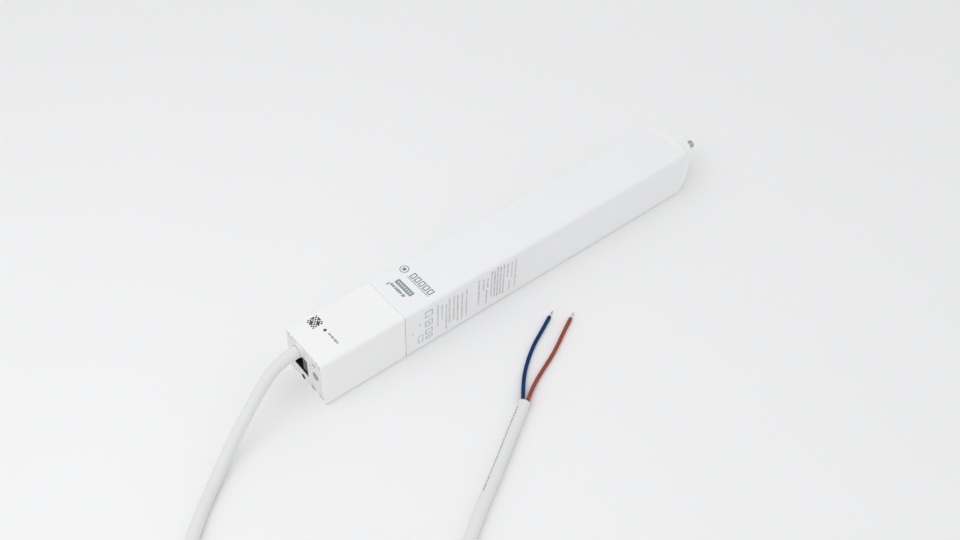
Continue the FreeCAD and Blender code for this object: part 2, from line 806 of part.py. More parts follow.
def make_capacitors():
    """A film capacitor and, behind it, a round one lying on its side with a pinched neck."""
    length, width, rise = "13", "7", "11.4"
    keep("filter_capacitor", block("FilterCapacitor", length, width, rise, "60", "1", BOARD_TOP))
    radius, neck_radius = 6.25, 5.6
    front_length, neck_length, body_length = 3, 1.2, 19
    start, side = 108, "-3"
    up = "%s + %s" % (BOARD_TOP, radius)
    neck_start = start + front_length
    front = rod("CapacitorFront", str(radius), str(front_length), str(start), side, up)
    neck = rod("CapacitorNeck", str(neck_radius), str(neck_length), str(neck_start), side, up)
    body = rod("CapacitorBody", str(radius), str(body_length), str(neck_start + neck_length), side, up)
    keep("reservoir_capacitor", join("ReservoirCapacitor", [front, neck, body]))


def make_transformer():
    """Ferrite frame with two windows, and the winding that fills them round the middle leg."""
    start, length, width, rise = 84, 20, 14, 18.4
    window_width, window_height, leg_width = 4, 11.4, 6
    room = 0.1
    low_side = str(-width / 2)
    yoke = (rise - window_height) / 2
    frame = block("CoreBlock", str(length), str(width), str(rise), str(start), low_side, BOARD_TOP)
    leg_start = start + (length - leg_width) / 2
    windows = []
    for number, x in enumerate((leg_start - window_width, leg_start + leg_width)):
        windows.append(
            block(
                "CoreWindow%d" % number, str(window_width), str(width + 2), str(window_height),
                str(x), str(-width / 2 - 1), "%s + %s" % (BOARD_TOP, yoke),
            )
        )
    keep("transformer_core", cut("TransformerCore", frame, windows))
    bulk = block(
        "WindingBulk", str(leg_width + 2 * (window_width - 2 * room)), str(width + 4),
        str(window_height - 2 * room), str(leg_start - window_width + 2 * room),
        str(-width / 2 - 2), "%s + %s" % (BOARD_TOP, yoke + room),
    )
    leg = block(
        "WindingLeg", str(leg_width), str(width), str(window_height + 1),
        str(leg_start), low_side, "%s + %s" % (BOARD_TOP, yoke - 0.5),
    )
    keep("transformer_winding", cut("TransformerWinding", bulk, [leg]))


def make_heat_sink():
    """Finned plate behind the motor driver."""
    start, length, side, thickness, rise = 112, 22, 5.4, 1.2, 14
    fin_count, fin_depth = 6, 3
    fin_pitch = (length - thickness) / (fin_count - 1)
    pieces = [
        block("SinkPlate", str(length), str(thickness), str(rise), str(start), str(side), BOARD_TOP)
    ]
    for number in range(fin_count):
        x = str(start + number * fin_pitch)
        low_side = str(side + thickness * 2 / 3)
        fin = block("SinkFin%d" % number, str(thickness), str(fin_depth), str(rise), x, low_side, BOARD_TOP)
        pieces.append(fin)
    keep("driver_heat_sink", join("DriverHeatSink", pieces))


def make_radio_module():
    """Upright daughter board with its tin shield."""
    start, length, side, thickness, rise = 22, 20, -9.6, 0.8, 14.4
    shield_inset, shield_depth, shield_rise = 2, 2.4, 10
    upright = block("RadioBoard", str(length), str(thickness), str(rise), str(start), str(side), BOARD_TOP)
    shield = block(
        "RadioShield", str(length - 2 * shield_inset - 1), str(shield_depth), str(shield_rise),
        str(start + shield_inset), str(side + thickness), "%s + 2.4" % BOARD_TOP,
    )
    keep("radio_module", join("RadioModule", [upright, shield]))


# Motor

def make_motor_can():
    """Deep-drawn steel cup; its front plate carries the shaft."""
    outside = rod("CanOutside", "motor_radius", "motor_length", "motor_start")
    room = rod("CanRoom", "motor_radius - motor_wall", "motor_length - 1.5 + 1", "motor_start - 1")
    bore = rod("CanBore", "armature_shaft_radius + running_gap", "motor_length + 2", "motor_start - 1")
    keep("motor_can", cut("MotorCan", outside, [room, bore]))


def brush_blocks(name):
    """The two brushes' blocks, one each side of the commutator."""
    blocks = []
    for number, y in enumerate(("brush_reach", "-brush_reach - brush_length")):
        blocks.append(
            block(
                "%s%d" % (name, number), "brush_width", "brush_length", "brush_thickness",
                "brush_start", y, "axis_height - brush_thickness / 2",
            )
        )
    return blocks


def make_brush_gear():
    """Carbon brushes on the commutator, held in slots of the motor's plastic end bell."""
    keep("carbon_brushes", group("CarbonBrushes", brush_blocks("Brush")))
    disc = rod("BellDisc", "motor_radius - 0.4", "bell_flange", "motor_start - bell_flange")
    cup = rod("BellCup", "motor_radius - motor_wall", "bell_length", "motor_start")
    room = rod("BellRoom", "8", "bell_length + 1", "motor_start")
    shaft_bore = "armature_shaft_radius + running_gap"
    bore = rod("BellBore", shaft_bore, "bell_flange + 2", "motor_start - bell_flange - 1")
    bell = join("BellSolid", [disc, cup])
    keep("motor_end_bell", cut("MotorEndBell", bell, [room, bore] + brush_blocks("BrushSlot")))


def make_field_magnets():
    """Two arc magnets lining the can, parted by a gap on each side."""
    outside = rod("MagnetOutside", "motor_radius - motor_wall", "magnet_length", "magnet_start")
    inside = rod("MagnetInside", "magnet_inner_radius", "magnet_length + 2", "magnet_start - 1")
    gap = block(
        "MagnetGap", "magnet_length + 2", "2 * motor_radius", "magnet_gap",
        "magnet_start - 1", "-motor_radius", "axis_height - magnet_gap / 2",
    )
    keep("field_magnets", cut("FieldMagnets", outside, [inside, gap]))


def core_pocket(body, name, corners):
    """A cut through the whole core, from corners across and up from its axis."""
    outline = section(body, name, "core_start")
    add_polygon(outline, corners)
    pocket = body.newObject("PartDesign::Pocket", name + "Pocket")
    pocket.Profile = outline
    pocket.setExpression("Length", bound("core_length"))
    pocket.Reversed = True
    return pocket


def make_armature():
    """Shaft, five-pole core, windings and commutator, all turning together."""
    shaft = rod("ArmatureShaft", "armature_shaft_radius", "armature_shaft_length", "armature_shaft_start")
    keep("armature_shaft", shaft)
    body = doc.addObject("PartDesign::Body", "ArmatureCore")
    place(body, "0", "0", "axis_height")
    stack = section(body, "CoreStack", "core_start")
    add_circle(stack, "armature_radius", "0", "0")
    add_circle(stack, "armature_shaft_radius", "0", "0")
    pad(body, "CoreStackPad", stack, "core_length")
    mouth = [("-0.7", "8"), ("0.7", "8"), ("0.7", "10.4"), ("-0.7", "10.4")]
    room = [("-1.2", "4"), ("1.2", "4"), ("2.9", "8"), ("-2.9", "8")]
    slot = core_pocket(body, "CoreSlot", mouth)
    slot_room = core_pocket(body, "CoreRoom", room)
    pattern = body.newObject("PartDesign::PolarPattern", "CorePoles")
    pattern.Originals = [slot, slot_room]
    axis = [feature for feature in body.Origin.OriginFeatures if feature.Role == "X_Axis"][0]
    pattern.Axis = (axis, [""])
    pattern.Angle = 360
    pattern.Occurrences = 5
    body.Tip = pattern
    keep("armature_core", body)
    shaft_radius = "armature_shaft_radius"
    rear_start = "core_start - winding_length"
    front_start = "core_start + core_length"
    rear = tube("WindingRear", "winding_radius", shaft_radius, "winding_length", rear_start)
    front = tube("WindingFront", "winding_radius", shaft_radius, "winding_length", front_start)
    keep("armature_windings", group("ArmatureWindings", [rear, front]))
    keep(
        "commutator",
        tube("Commutator", "commutator_radius", shaft_radius, "commutator_length", "commutator_start"),
    )


def make_damping_rings():
    """Two rubber rings that seat the motor and its gearbox in the tube."""
    for label, name, start in (
        ("rear_damping_ring", "RearDampingRing", "motor_start + 3"),
        ("front_damping_ring", "FrontDampingRing", "gearbox_start + ring_length - 8"),
    ):
        keep(label, tube(name, "damper_radius", "motor_radius", "damper_length", start))


# Planetary gearbox: two stages in one toothed ring

def gear_outline(teeth, tip_radius, root_radius, slack):
    """Corners of a toothed outline: root, pitch and tip on each flank of every tooth."""
    pressure = math.radians(20.0)
    pitch_radius = size("gear_module") * teeth / 2
    base_radius = pitch_radius * math.cos(pressure)
    half_pitch_tooth = math.pi / (2 * teeth) - slack / (2 * pitch_radius)

    def involute(radius):
        angle = math.acos(min(1.0, base_radius / radius))
        return math.tan(angle) - angle

    corners = []
    flank = [root_radius, pitch_radius, tip_radius]
    for tooth in range(int(teeth)):
        middle = 2 * math.pi * tooth / teeth
        half = [half_pitch_tooth + involute(pitch_radius) - involute(radius) for radius in flank]
        for radius, angle in zip(flank, half):
            corners.append((radius, middle - angle))
        for radius, angle in zip(reversed(flank), reversed(half)):
            corners.append((radius, middle + angle))
    return [Vector(0, r * math.cos(a), r * math.sin(a)) for r, a in corners]


def gear_prism(teeth, tip_radius, root_radius, slack, length):
    """The toothed outline drawn out along +X."""
    corners = gear_outline(teeth, tip_radius, root_radius, slack)
    face = Part.Face(Part.makePolygon(corners + [corners[0]]))
    return face.extrude(Vector(length, 0, 0))


def outer_gear(teeth, bore, length):
    """An ordinary gear with a round bore, from x = 0 along +X."""
    module = size("gear_module")
    pitch_radius = module * teeth / 2
    tip = pitch_radius + size("tooth_addendum") * module
    root = pitch_radius - size("tooth_dedendum") * module
    solid = gear_prism(teeth, tip, root, size("tooth_slack"), length)
    return solid.cut(Part.makeCylinder(bore, length, Vector(), Vector(1, 0, 0)))


def shaped(label, shape, x, y=0.0, z=0.0):
    """A sub-part from its own shape, y and z counted from the motor's axis."""
    feature = doc.addObject("Part::Feature", "".join(word.title() for word in label.split("_")))
    feature.Shape = shape
    feature.Placement = Placement(Vector(x - size("half_length"), y, z + size("axis_height")), Rotation())
    return keep(label, feature)


def planet_places():
    """The three planets' angles and their places round the axis."""
    distance = size("gear_module") * (size("sun_teeth") + size("planet_teeth")) / 2
    places = []
    for number in range(3):
        angle = 2 * math.pi * number / 3
        places.append((distance * math.cos(angle), distance * math.sin(angle)))
    return places


def carrier(bore, pin_start, disc_start, disc_length):
    """A disc with three pins that point back into the planets, x counted from the gearbox's rear."""
    along = Vector(1, 0, 0)
    solid = Part.makeCylinder(size("carrier_radius"), disc_length, Vector(disc_start, 0, 0), along)
    for y, z in planet_places():
        foot = Vector(pin_start, y, z)
        pin = Part.makeCylinder(size("planet_pin_radius"), disc_start - pin_start, foot, along)
        solid = solid.fuse(pin)
    if bore > 0:
        solid = solid.cut(Part.makeCylinder(bore, disc_length, Vector(disc_start, 0, 0), along))
    return solid.removeSplitter()


# Where each stage's gears start, from the gearbox's rear, and the sizes of its two carriers.
FIRST_STAGE = 3.6
SECOND_STAGE = 16.2
CARRIER_GAP = 0.8
FIRST_DISC = 3.0
SECOND_DISC = 4.0
SUN_CENTRE_HOLE = 0.4


def make_gearbox():
    start = size("gearbox_start")
    module = size("gear_module")
    along = Vector(1, 0, 0)
    ring_pitch = module * size("ring_teeth") / 2
    space_tip = ring_pitch + size("tooth_dedendum") * module
    space_root = ring_pitch - size("tooth_addendum") * module
    hollow = gear_prism(
        size("ring_teeth"), space_tip, space_root, -size("tooth_slack"), size("ring_length")
    )
    casing = Part.makeCylinder(size("motor_radius"), size("ring_length"), Vector(), along)
    shaped("ring_gear", casing.cut(hollow), start)

    face = size("gear_face")
    sun = outer_gear(size("sun_teeth"), size("armature_shaft_radius"), face)
    shaped("sun_gear", sun, start + FIRST_STAGE)
    planet = outer_gear(size("planet_teeth"), size("planet_pin_radius") + size("running_gap"), face)
    for stage, offset in (("first", FIRST_STAGE), ("second", SECOND_STAGE)):
        for number, (y, z) in enumerate(planet_places(), start=1):
            shaped("%s_planet_%d" % (stage, number), planet, start + offset, y, z)

    disc_start = FIRST_STAGE + face + CARRIER_GAP
    disc_end = disc_start + FIRST_DISC
    first = carrier(0.0, FIRST_STAGE, disc_start, FIRST_DISC)
    second_sun = outer_gear(size("sun_teeth"), SUN_CENTRE_HOLE, SECOND_STAGE + face - disc_end)
    second_sun.translate(Vector(disc_end, 0, 0))
    shaped("first_carrier", first.fuse(second_sun), start)
    second_disc = SECOND_STAGE + face + CARRIER_GAP
    second = carrier(size("output_radius"), SECOND_STAGE, second_disc, SECOND_DISC)
    shaped("second_carrier", second, start)

    cover_start = "gearbox_start + ring_length"
    cover = rod("CoverDisc", "motor_radius", "cover_length", cover_start)
    cover_bore = rod("CoverBore", "cover_bore_radius", "cover_length + 2", "%s - 1" % cover_start)
    keep("gearbox_cover", cut("GearboxCover", cover, [cover_bore]))
    inner = "output_radius + running_gap"
    keep("gearbox_bush", tube("GearboxBush", "cover_bore_radius", inner, "cover_length", cover_start))


# Drive end

def make_output_shaft():
    """Steel shaft from the second carrier to the coupling, stepped down where the coupling sits."""
    start = "gearbox_start + %s" % (SECOND_STAGE + size("gear_face") + CARRIER_GAP)
    thick = rod("ShaftThick", "output_radius", "coupling_start - (%s)" % start, start)
    thin_length = "overall_length - spindle_setback - coupling_start"
    thin = rod("ShaftThin", "spindle_radius", thin_length, "coupling_start")
    keep("output_shaft", join("OutputShaft", [thick, thin]))
    magnet = tube("EncoderMagnet", "encoder_radius", "output_radius", "encoder_length", "encoder_start")
    keep("encoder_magnet", magnet)


def make_hall_board():
    """Small board on the gearbox cover whose sensor reads the magnet on the shaft."""
    sensor_low = "axis_height + encoder_radius + sensor_gap"
    plate = block(
        "HallPlate", "10", "12", "1.2",
        "gearbox_start + ring_length + cover_length", "-6", "%s + sensor_rise" % sensor_low,
    )
    sensor = block("HallSensor", "3", "4", "sensor_rise", "encoder_start + 0.5", "-2", sensor_low)
    keep("hall_sensor_board", join("HallSensorBoard", [plate, sensor]))


def make_drive_end_cap():
    """Plug in the main tube and a nose, square at the tube and turned down to a round boss."""
    spigot = new_body("CapSpigot")
    outline = section(spigot, "CapSpigotOutline", "cap_spigot_start")
    add_octagon(
        outline, "section_width / 2 - wall", "section_height / 2 - wall",
        "web_reach - plate_gap", "plate_gap",
    )
    pad(spigot, "CapSpigotPad", outline, "main_end - cap_spigot_start")
    nose = new_body("NoseBar")
    square = section(nose, "NoseSquare", "main_end")
    add_rectangle(square, "section_width", "section_height", "0", "axis_height")
    bar = pad(nose, "NoseBarPad", square, "nose_length")
    doc.recompute()
    corners = long_edges(bar.Shape, size("section_width") / 2, size("section_height") / 2)
    rounded = round_edges(nose, "NoseBarCorners", bar, corners, "corner_radius")
    doc.recompute()
    bevel_edges(nose, "NoseSeam", rounded, rim_edges(rounded.Shape, size("main_end")), "seam_bevel")
    cone = taper("NoseCone", "nose_start_radius", "nose_radius", "nose_length", "main_end")
    turned = doc.addObject("Part::Common", "Nose")
    turned.Base = nose
    turned.Tool = cone
    boss = rod("Boss", "boss_radius", "boss_end - main_end - nose_length", "main_end + nose_length")
    solid = join("CapSolid", [spigot, turned, boss])
    mouth_length = "boss_end - cap_spigot_start + 2"
    tools = [
        rod("CapBore", "bush_radius", "bush_length + 1", "cap_spigot_start - 1"),
        rod("CapMouth", "output_radius + mouth_room", mouth_length, "cap_spigot_start - 1"),
    ]
    for number, (side, rise) in enumerate(corner_places()):
        hole = rod(
            "CapScrewHole%d" % number, "port_radius + head_room", "nose_length",
            "main_end - 1", side, rise,
        )
        room = rod(
            "CapScrewHead%d" % number, "head_radius + 2 * head_room", "boss_end - cap_screw_seat + 1",
            "cap_screw_seat", side, rise,
        )
        tools += [hole, room]
    keep("drive_end_cap", cut("DriveEndCap", solid, tools))
    inner = "output_radius + running_gap"
    sleeve = tube("OutputBush", "bush_radius", inner, "bush_length", "cap_spigot_start")
    flange_start = "cap_spigot_start - bush_flange_length"
    flange = tube("OutputBushFlange", "bush_flange_radius", inner, "bush_flange_length", flange_start)
    keep("output_bush", join("OutputBushSolid", [sleeve, flange]))


def make_output_coupling():
    """Drive spindle on the shaft's end: a plain collar, then a splined length with a bevelled tip."""
    body = doc.addObject("PartDesign::Body", "OutputCoupling")
    place(body, "0", "0", "axis_height")
    collar = section(body, "CouplingCollar", "coupling_start")
    add_circle(collar, "coupling_radius", "0", "0")
    add_circle(collar, "spindle_radius", "0", "0")
    pad(body, "CouplingCollarPad", collar, "coupling_collar")
    blank = section(body, "CouplingBlank", "coupling_start + coupling_collar")
    add_circle(blank, "spline_radius", "0", "0")
    add_circle(blank, "spindle_radius", "0", "0")
    spline_length = "overall_length - coupling_start - coupling_collar"
    blank_pad = pad(body, "CouplingBlankPad", blank, spline_length)
    doc.recompute()
    rims = []
    for number, edge in enumerate(blank_pad.Shape.Edges, start=1):
        box = edge.BoundBox
        outer = abs(box.YMax - size("spline_radius")) < 1e-3
        if outer and box.XLength < 1e-3 and abs(box.XMin - size("overall_length")) < 1e-3:
            rims.append("Edge%d" % number)
    bevel_edges(body, "CouplingBevel", blank_pad, rims, "spline_bevel")
    groove = section(body, "CouplingGroove", "coupling_start + coupling_collar")
    low = "spline_radius - spline_depth"
    high = "spline_radius + 1"
    floor, mouth = "groove_floor / 2", "groove_mouth / 2"
    add_polygon(groove, [("-" + floor, low), (floor, low), (mouth, high), ("-" + mouth, high)])
    pocket = body.newObject("PartDesign::Pocket", "CouplingGrooveCut")
    pocket.Profile = groove
    pocket.setExpression("Length", bound(spline_length))
    pocket.Reversed = True
    pattern = body.newObject("PartDesign::PolarPattern", "CouplingGrooves")
    pattern.Originals = [pocket]
    axis = [feature for feature in body.Origin.OriginFeatures if feature.Role == "X_Axis"][0]
    pattern.Axis = (axis, [""])
    pattern.Angle = 360
    pattern.setExpression("Occurrences", bound("spline_count"))
    body.Tip = pattern
    keep("output_coupling", body)


# Cords and wires

def rounded_path(points):
    """Straight runs joined by tangent arcs, each as large as its two runs allow; also the least radius."""
    points = [Vector(*point) for point in points]
    edges = []
    least = 1e9
    here = points[0]
    for before, corner, after in zip(points, points[1:], points[2:]):
        back = before - corner
        ahead = after - corner
        shorter = min(back.Length, ahead.Length)
        back.normalize()
        ahead.normalize()
        half_turn = (math.pi - back.getAngle(ahead)) / 2
        reach = 0.45 * shorter
        radius = reach / math.tan(half_turn)
        least = min(least, radius)
        start = corner + back * reach
        end = corner + ahead * reach
        towards = (back + ahead).normalize()
        middle = corner + towards * (radius / math.cos(half_turn) - radius)
        edges.append(Part.LineSegment(here, start).toShape())
        edges.append(Part.Arc(start, middle, end).toShape())
        here = end
    edges.append(Part.LineSegment(here, points[-1]).toShape())
    return Part.Wire(edges), least


def swept(path, radius):
    """A round tube along a wire."""
    first = path.Edges[0]
    start = first.valueAt(first.FirstParameter)
    heading = first.tangentAt(first.FirstParameter)
    ring = Part.Wire(Part.makeCircle(radius, start, heading))
    return path.makePipeShell([ring], True, False)


def cord_feature(label, shape):
    feature = doc.addObject("Part::Feature", "".join(word.title() for word in label.split("_")))
    feature.Shape = shape
    return keep(label, feature)


def make_tube(label, points, radius):
    """A cord's free stretch; prints its length, its least bend radius and its volume check."""
    path, least = rounded_path(points)
    solid = swept(path, radius)
    ideal = math.pi * radius ** 2 * path.Length
    ratio = solid.Volume / ideal
    print("%s length %.1f least radius %.1f volume ratio %.4f" % (label, path.Length, least, ratio))
    cord_feature(label, solid)
    return path.Length


def biarc(start, start_way, end, end_way):
    """Two tangent arcs between two points with given headings."""
    chord = end - start
    both = start_way + end_way
    quadratic = 2 * (start_way.dot(end_way) - 1)
    linear = -2 * chord.dot(both)
    constant = chord.dot(chord)
    root = math.sqrt(linear ** 2 - 4 * quadratic * constant)
    reach = (-linear - root) / (2 * quadratic)
    knee_start = start + start_way * reach
    knee_end = end - end_way * reach
    joint = (knee_start + knee_end) * 0.5
    edges = []
    for low, knee, high in ((start, knee_start, joint), (joint, knee_end, end)):
        chord_middle = (low + high) * 0.5
        rise = (knee - chord_middle).Length
        half = (high - low).Length / 2
        bulge = half * math.tan(math.atan2(rise, half) / 2)
        middle = chord_middle + (knee - chord_middle).normalize() * bulge
        edges.append(Part.Arc(low, middle, high).toShape())
    return edges


def coil_stations():
    """Quarter-turn stations of the coil: turn angle in degrees, radius and height of the middle line."""
    outer = size("coil_outer_radius")
    pitch = size("coil_pitch")
    low = size("cord_radius")
    per_layer = COIL_QUARTERS_PER_LAYER
    stations = []
    for quarter in range(per_layer + 1):
        stations.append((COIL_START_TURN + 90 * quarter, outer - pitch * quarter / 4, low))
    turn, radius, _ = stations[-1]
    stations.append((turn + 90, radius - pitch / 6, low + pitch / 2))
    stations.append((turn + 180, radius, low + pitch))
    turn += 180
    last = COIL_LAST_TURN + 360 * (per_layer // 2)
    steps = per_layer
    for step in range(1, steps + 1):
        along = step / steps
        stations.append((turn + (last - turn) * along, radius + (outer - radius) * along, low + pitch))
    return stations


def make_coil():
    """One unbroken tube in two layers: in along the table, up half a turn at the middle, out again."""
    radius = size("cord_radius")
    stations = coil_stations()
    middle = Vector(COIL_CENTRE[0], COIL_CENTRE[1], 0)
    places = []
    for turn, reach, height in stations:
        angle = math.radians(turn)
        places.append(
            (
                middle + Vector(reach * math.cos(angle), reach * math.sin(angle), height),
                Vector(-math.sin(angle), math.cos(angle), 0),
            )
        )
    lead = 2 * radius
    first_place, first_way = places[0]
    last_place, last_way = places[-1]
    edges = [Part.LineSegment(first_place - first_way * lead, first_place).toShape()]
    for (start, start_way), (end, end_way) in zip(places, places[1:]):
        edges += biarc(start, start_way, end, end_way)
    edges.append(Part.LineSegment(last_place, last_place + last_way * lead).toShape())
    path = Part.Wire(edges)
    solid = swept(path, radius)
    samples = path.discretize(Distance=2.0)
    gap = 1e9
    skip = int(math.pi * size("coil_outer_radius") / 2.0)
    for i, here in enumerate(samples):
        for there in samples[i + skip:]:
            gap = min(gap, here.distanceToPoint(there) - 2 * radius)
    ideal = math.pi * radius ** 2 * path.Length
    print("supply_cord_coil length %.1f gap to itself %.2f" % (path.Length, gap))
    print("supply_cord_coil volume ratio %.4f" % (solid.Volume / ideal))
    print("coil starts", first_place - first_way * lead, "ends", last_place + last_way * lead)
    cord_feature("supply_cord_coil", solid)
    return path.Length


def make_cords():
    radius = size("cord_radius")
    conductor = size("conductor_radius")
    total = make_tube("supply_cord", CORD_NEAR, radius)
    total += make_coil()
    total += make_tube("supply_cord_end", CORD_FAR, radius)
    print("supply cord in all %.0f" % total)
    make_tube("blue_wire", BLUE_ROUTE, conductor)
    make_tube("brown_wire", BROWN_ROUTE, conductor)
    tips = []
    for route in (BLUE_ROUTE, BROWN_ROUTE):
        end = Vector(*route[-1])
        heading = (end - Vector(*route[-2])).normalize()
        tips.append(Part.makeCylinder(size("strand_radius"), TIP_LENGTH, end, heading))
    cord_feature("bare_wire_tips", Part.makeCompound(tips))


def make_inner_leads():
    """The cord through the gland and clamp, its two wires to the terminals, and the motor's pair."""
    outer = "plate_recess - gland_proud"
    length = "inner_cord_end - (%s)" % outer
    cord = rod("InnerCord", "cord_radius", length, outer, "cord_side", "cord_height")
    keep("inner_cord", cord)
    half = size("half_length")
    wires = []
    for points in INNER_WIRES:
        path, _ = rounded_path([(x - half, y, z) for x, y, z in points])
        wires.append(swept(path, size("conductor_radius")))
    for side in MOTOR_LEAD_SIDES:
        path, _ = rounded_path([(x - half, side, z) for x, z in MOTOR_LEAD])
        wires.append(swept(path, size("motor_lead_radius")))
    cord_feature("inner_wires", Part.makeCompound(wires))


make_main_housing()
make_tail_housing()
make_end_plate()
make_end_plate_screw()
make_tail_screws()
make_cord_gland()
make_control_socket()
make_program_button()
make_status_light()
make_key_board()
make_cord_clamp()
make_main_board()
make_terminal_block()
make_fuse()
make_capacitors()
make_transformer()
make_heat_sink()
make_radio_module()
make_motor_can()
make_brush_gear()
make_field_magnets()
make_armature()
make_damping_rings()
make_gearbox()
make_output_shaft()
make_hall_board()
make_drive_end_cap()
make_drive_end_screws()
make_output_coupling()
make_inner_leads()
make_cords()

doc.recompute()
for thing in doc.Objects:
    if "Invalid" in thing.State or "Error" in thing.State:
        raise RuntimeError("%s did not build" % thing.Name)
os.makedirs("parts", exist_ok=True)
for label, thing in nodes.items():
    shape = thing.Shape
    if shape.isNull() or not shape.isValid() or not shape.Solids:
        raise RuntimeError("%s has no sound solid" % label)
for label, thing in nodes.items():
    thing.Shape.exportStep("parts/%s.step" % label)
print("%d sub-parts" % len(nodes))
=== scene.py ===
import json
import math
import random

import bmesh
import bpy
from bpy.props import FloatProperty, FloatVectorProperty, IntProperty, PointerProperty
from mathutils import Matrix, Vector


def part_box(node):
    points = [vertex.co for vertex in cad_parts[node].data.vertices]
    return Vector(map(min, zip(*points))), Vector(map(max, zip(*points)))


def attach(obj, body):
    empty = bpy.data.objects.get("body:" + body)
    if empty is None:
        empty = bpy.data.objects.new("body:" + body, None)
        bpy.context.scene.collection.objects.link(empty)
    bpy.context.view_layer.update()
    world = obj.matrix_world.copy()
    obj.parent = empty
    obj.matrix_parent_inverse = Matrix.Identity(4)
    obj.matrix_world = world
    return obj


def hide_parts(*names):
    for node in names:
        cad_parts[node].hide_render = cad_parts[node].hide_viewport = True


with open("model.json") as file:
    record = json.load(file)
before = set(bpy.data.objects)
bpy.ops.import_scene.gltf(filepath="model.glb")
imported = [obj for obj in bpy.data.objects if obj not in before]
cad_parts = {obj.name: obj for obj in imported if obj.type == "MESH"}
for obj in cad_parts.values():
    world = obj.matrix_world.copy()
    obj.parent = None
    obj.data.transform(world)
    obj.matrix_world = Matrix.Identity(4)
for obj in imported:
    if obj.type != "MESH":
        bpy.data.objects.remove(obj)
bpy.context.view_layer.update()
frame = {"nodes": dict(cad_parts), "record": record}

bl_info = {
    "name": "Curtain Track Motor",
    "version": (1, 0, 0),
    "blender": (4, 5, 0),
    "location": "View3D > Sidebar > Track Motor",
    "description": "Dresses a square curtain track motor with its supply cord and sets it in a pale studio",
    "category": "Add Mesh",
}

MM = 0.001

SLOT_COLOURS = {row["slot"]: tuple(row["base_color"]) for row in frame["record"]["materials"]}
NODE_SLOTS = {row["node"]: row["material_slot"] for row in frame["record"]["subparts"]}

# Datums read from the frame: the tail's outer face, the seam, the two long faces that carry the print,
# the end plate's face and the near edge of the main board.
TAIL_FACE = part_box("tail_housing")[0].x
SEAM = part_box("main_housing")[0].x
SIDE_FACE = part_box("main_housing")[0].y
TOP_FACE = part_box("main_housing")[1].z
PLATE_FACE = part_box("status_lens")[0].x
BOARD_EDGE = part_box("main_board")[0].x

# Routes of the cord and its wires in metres: control points of smooth lines, from the motor outwards.
CORD_NEAR = [
    (-0.1643, 0.0042, 0.0296),
    (-0.1752, 0.0040, 0.0292),
    (-0.1884, 0.0000, 0.0258),
    (-0.2070, -0.0094, 0.0196),
    (-0.2232, -0.0158, 0.0086),
    (-0.2395, -0.0263, 0.0035),
    (-0.2610, -0.0437, 0.0035),
    (-0.2834, -0.0682, 0.0035),
    (-0.2970, -0.1030, 0.0035),
    (-0.2970, -0.1350, 0.0035),
]
CORD_FAR = [
    (-0.2245, -0.1812, 0.0111),
    (-0.2100, -0.1744, 0.0111),
    (-0.1867, -0.1609, 0.0064),
    (-0.1661, -0.1475, 0.0035),
    (-0.1421, -0.1309, 0.0035),
    (-0.1162, -0.1162, 0.0035),
    (-0.0923, -0.1015, 0.0035),
    (-0.0724, -0.0898, 0.0035),
]
BLUE_ROUTE = [
    (-0.0726, -0.0885, 0.0039),
    (-0.0671, -0.0823, 0.0024),
    (-0.0561, -0.0711, 0.0012),
    (-0.0401, -0.0601, 0.0012),
    (-0.0255, -0.0533, 0.0012),
    (-0.0154, -0.0484, 0.0012),
]
BROWN_ROUTE = [
    (-0.0715, -0.0907, 0.0032),
    (-0.0633, -0.0849, 0.0022),
    (-0.0495, -0.0781, 0.0012),
    (-0.0324, -0.0715, 0.0012),
    (-0.0161, -0.0626, 0.0012),
    (-0.0058, -0.0575, 0.0012),
]

# The put-away coil: its middle, and in degrees where it starts, climbs, is in its upper layer and ends.
# Then its points for each turn, and the part of a pitch, one in that many, by which the climb draws in.
COIL_MIDDLE = (-0.2505, -0.1420)
COIL_START, COIL_CLIMB, COIL_UPPER, COIL_END = 180.0, 900.0, 1080.0, 1735.0
COIL_STEPS = 16
COIL_TUCK = 6

# The sheath is a shade greyer than its slot's colour.
SHEATH_SHADE = 0.88


class MotorSizes(bpy.types.PropertyGroup):
    """Sizes of the dressed pieces that aren't in the frame."""

    cord_diameter: FloatProperty(
        name="Cord diameter", description="Outside of the supply cord's sheath", default=0.007, unit="LENGTH"
    )
    wire_diameter: FloatProperty(
        name="Wire diameter", description="Outside of one conductor's insulation",
        default=0.0024, unit="LENGTH",
    )
    strand_diameter: FloatProperty(
        name="Strand diameter", description="One bare strand of a conductor", default=0.00022, unit="LENGTH"
    )
    strand_length: FloatProperty(
        name="Bared length", description="How far the strands stand out", default=0.0056, unit="LENGTH"
    )
    strand_count: IntProperty(name="Strands", description="Strands round the middle one", default=9, min=3)
    relief_length: FloatProperty(
        name="Relief length", description="Tapered strain relief along the cord", default=0.024, unit="LENGTH"
    )
    relief_diameter: FloatProperty(
        name="Relief diameter", description="Strain relief where it leaves the gland",
        default=0.0078, unit="LENGTH",
    )
    coil_radius: FloatProperty(
        name="Coil radius", description="Middle line of the outermost turn", default=0.0465, unit="LENGTH"
    )
    coil_pitch: FloatProperty(
        name="Coil pitch", description="Distance between two turns side by side",
        default=0.0076, unit="LENGTH",
    )
    ink_thickness: FloatProperty(
        name="Ink thickness", description="How far print stands on a face", default=0.00003, unit="LENGTH"
    )


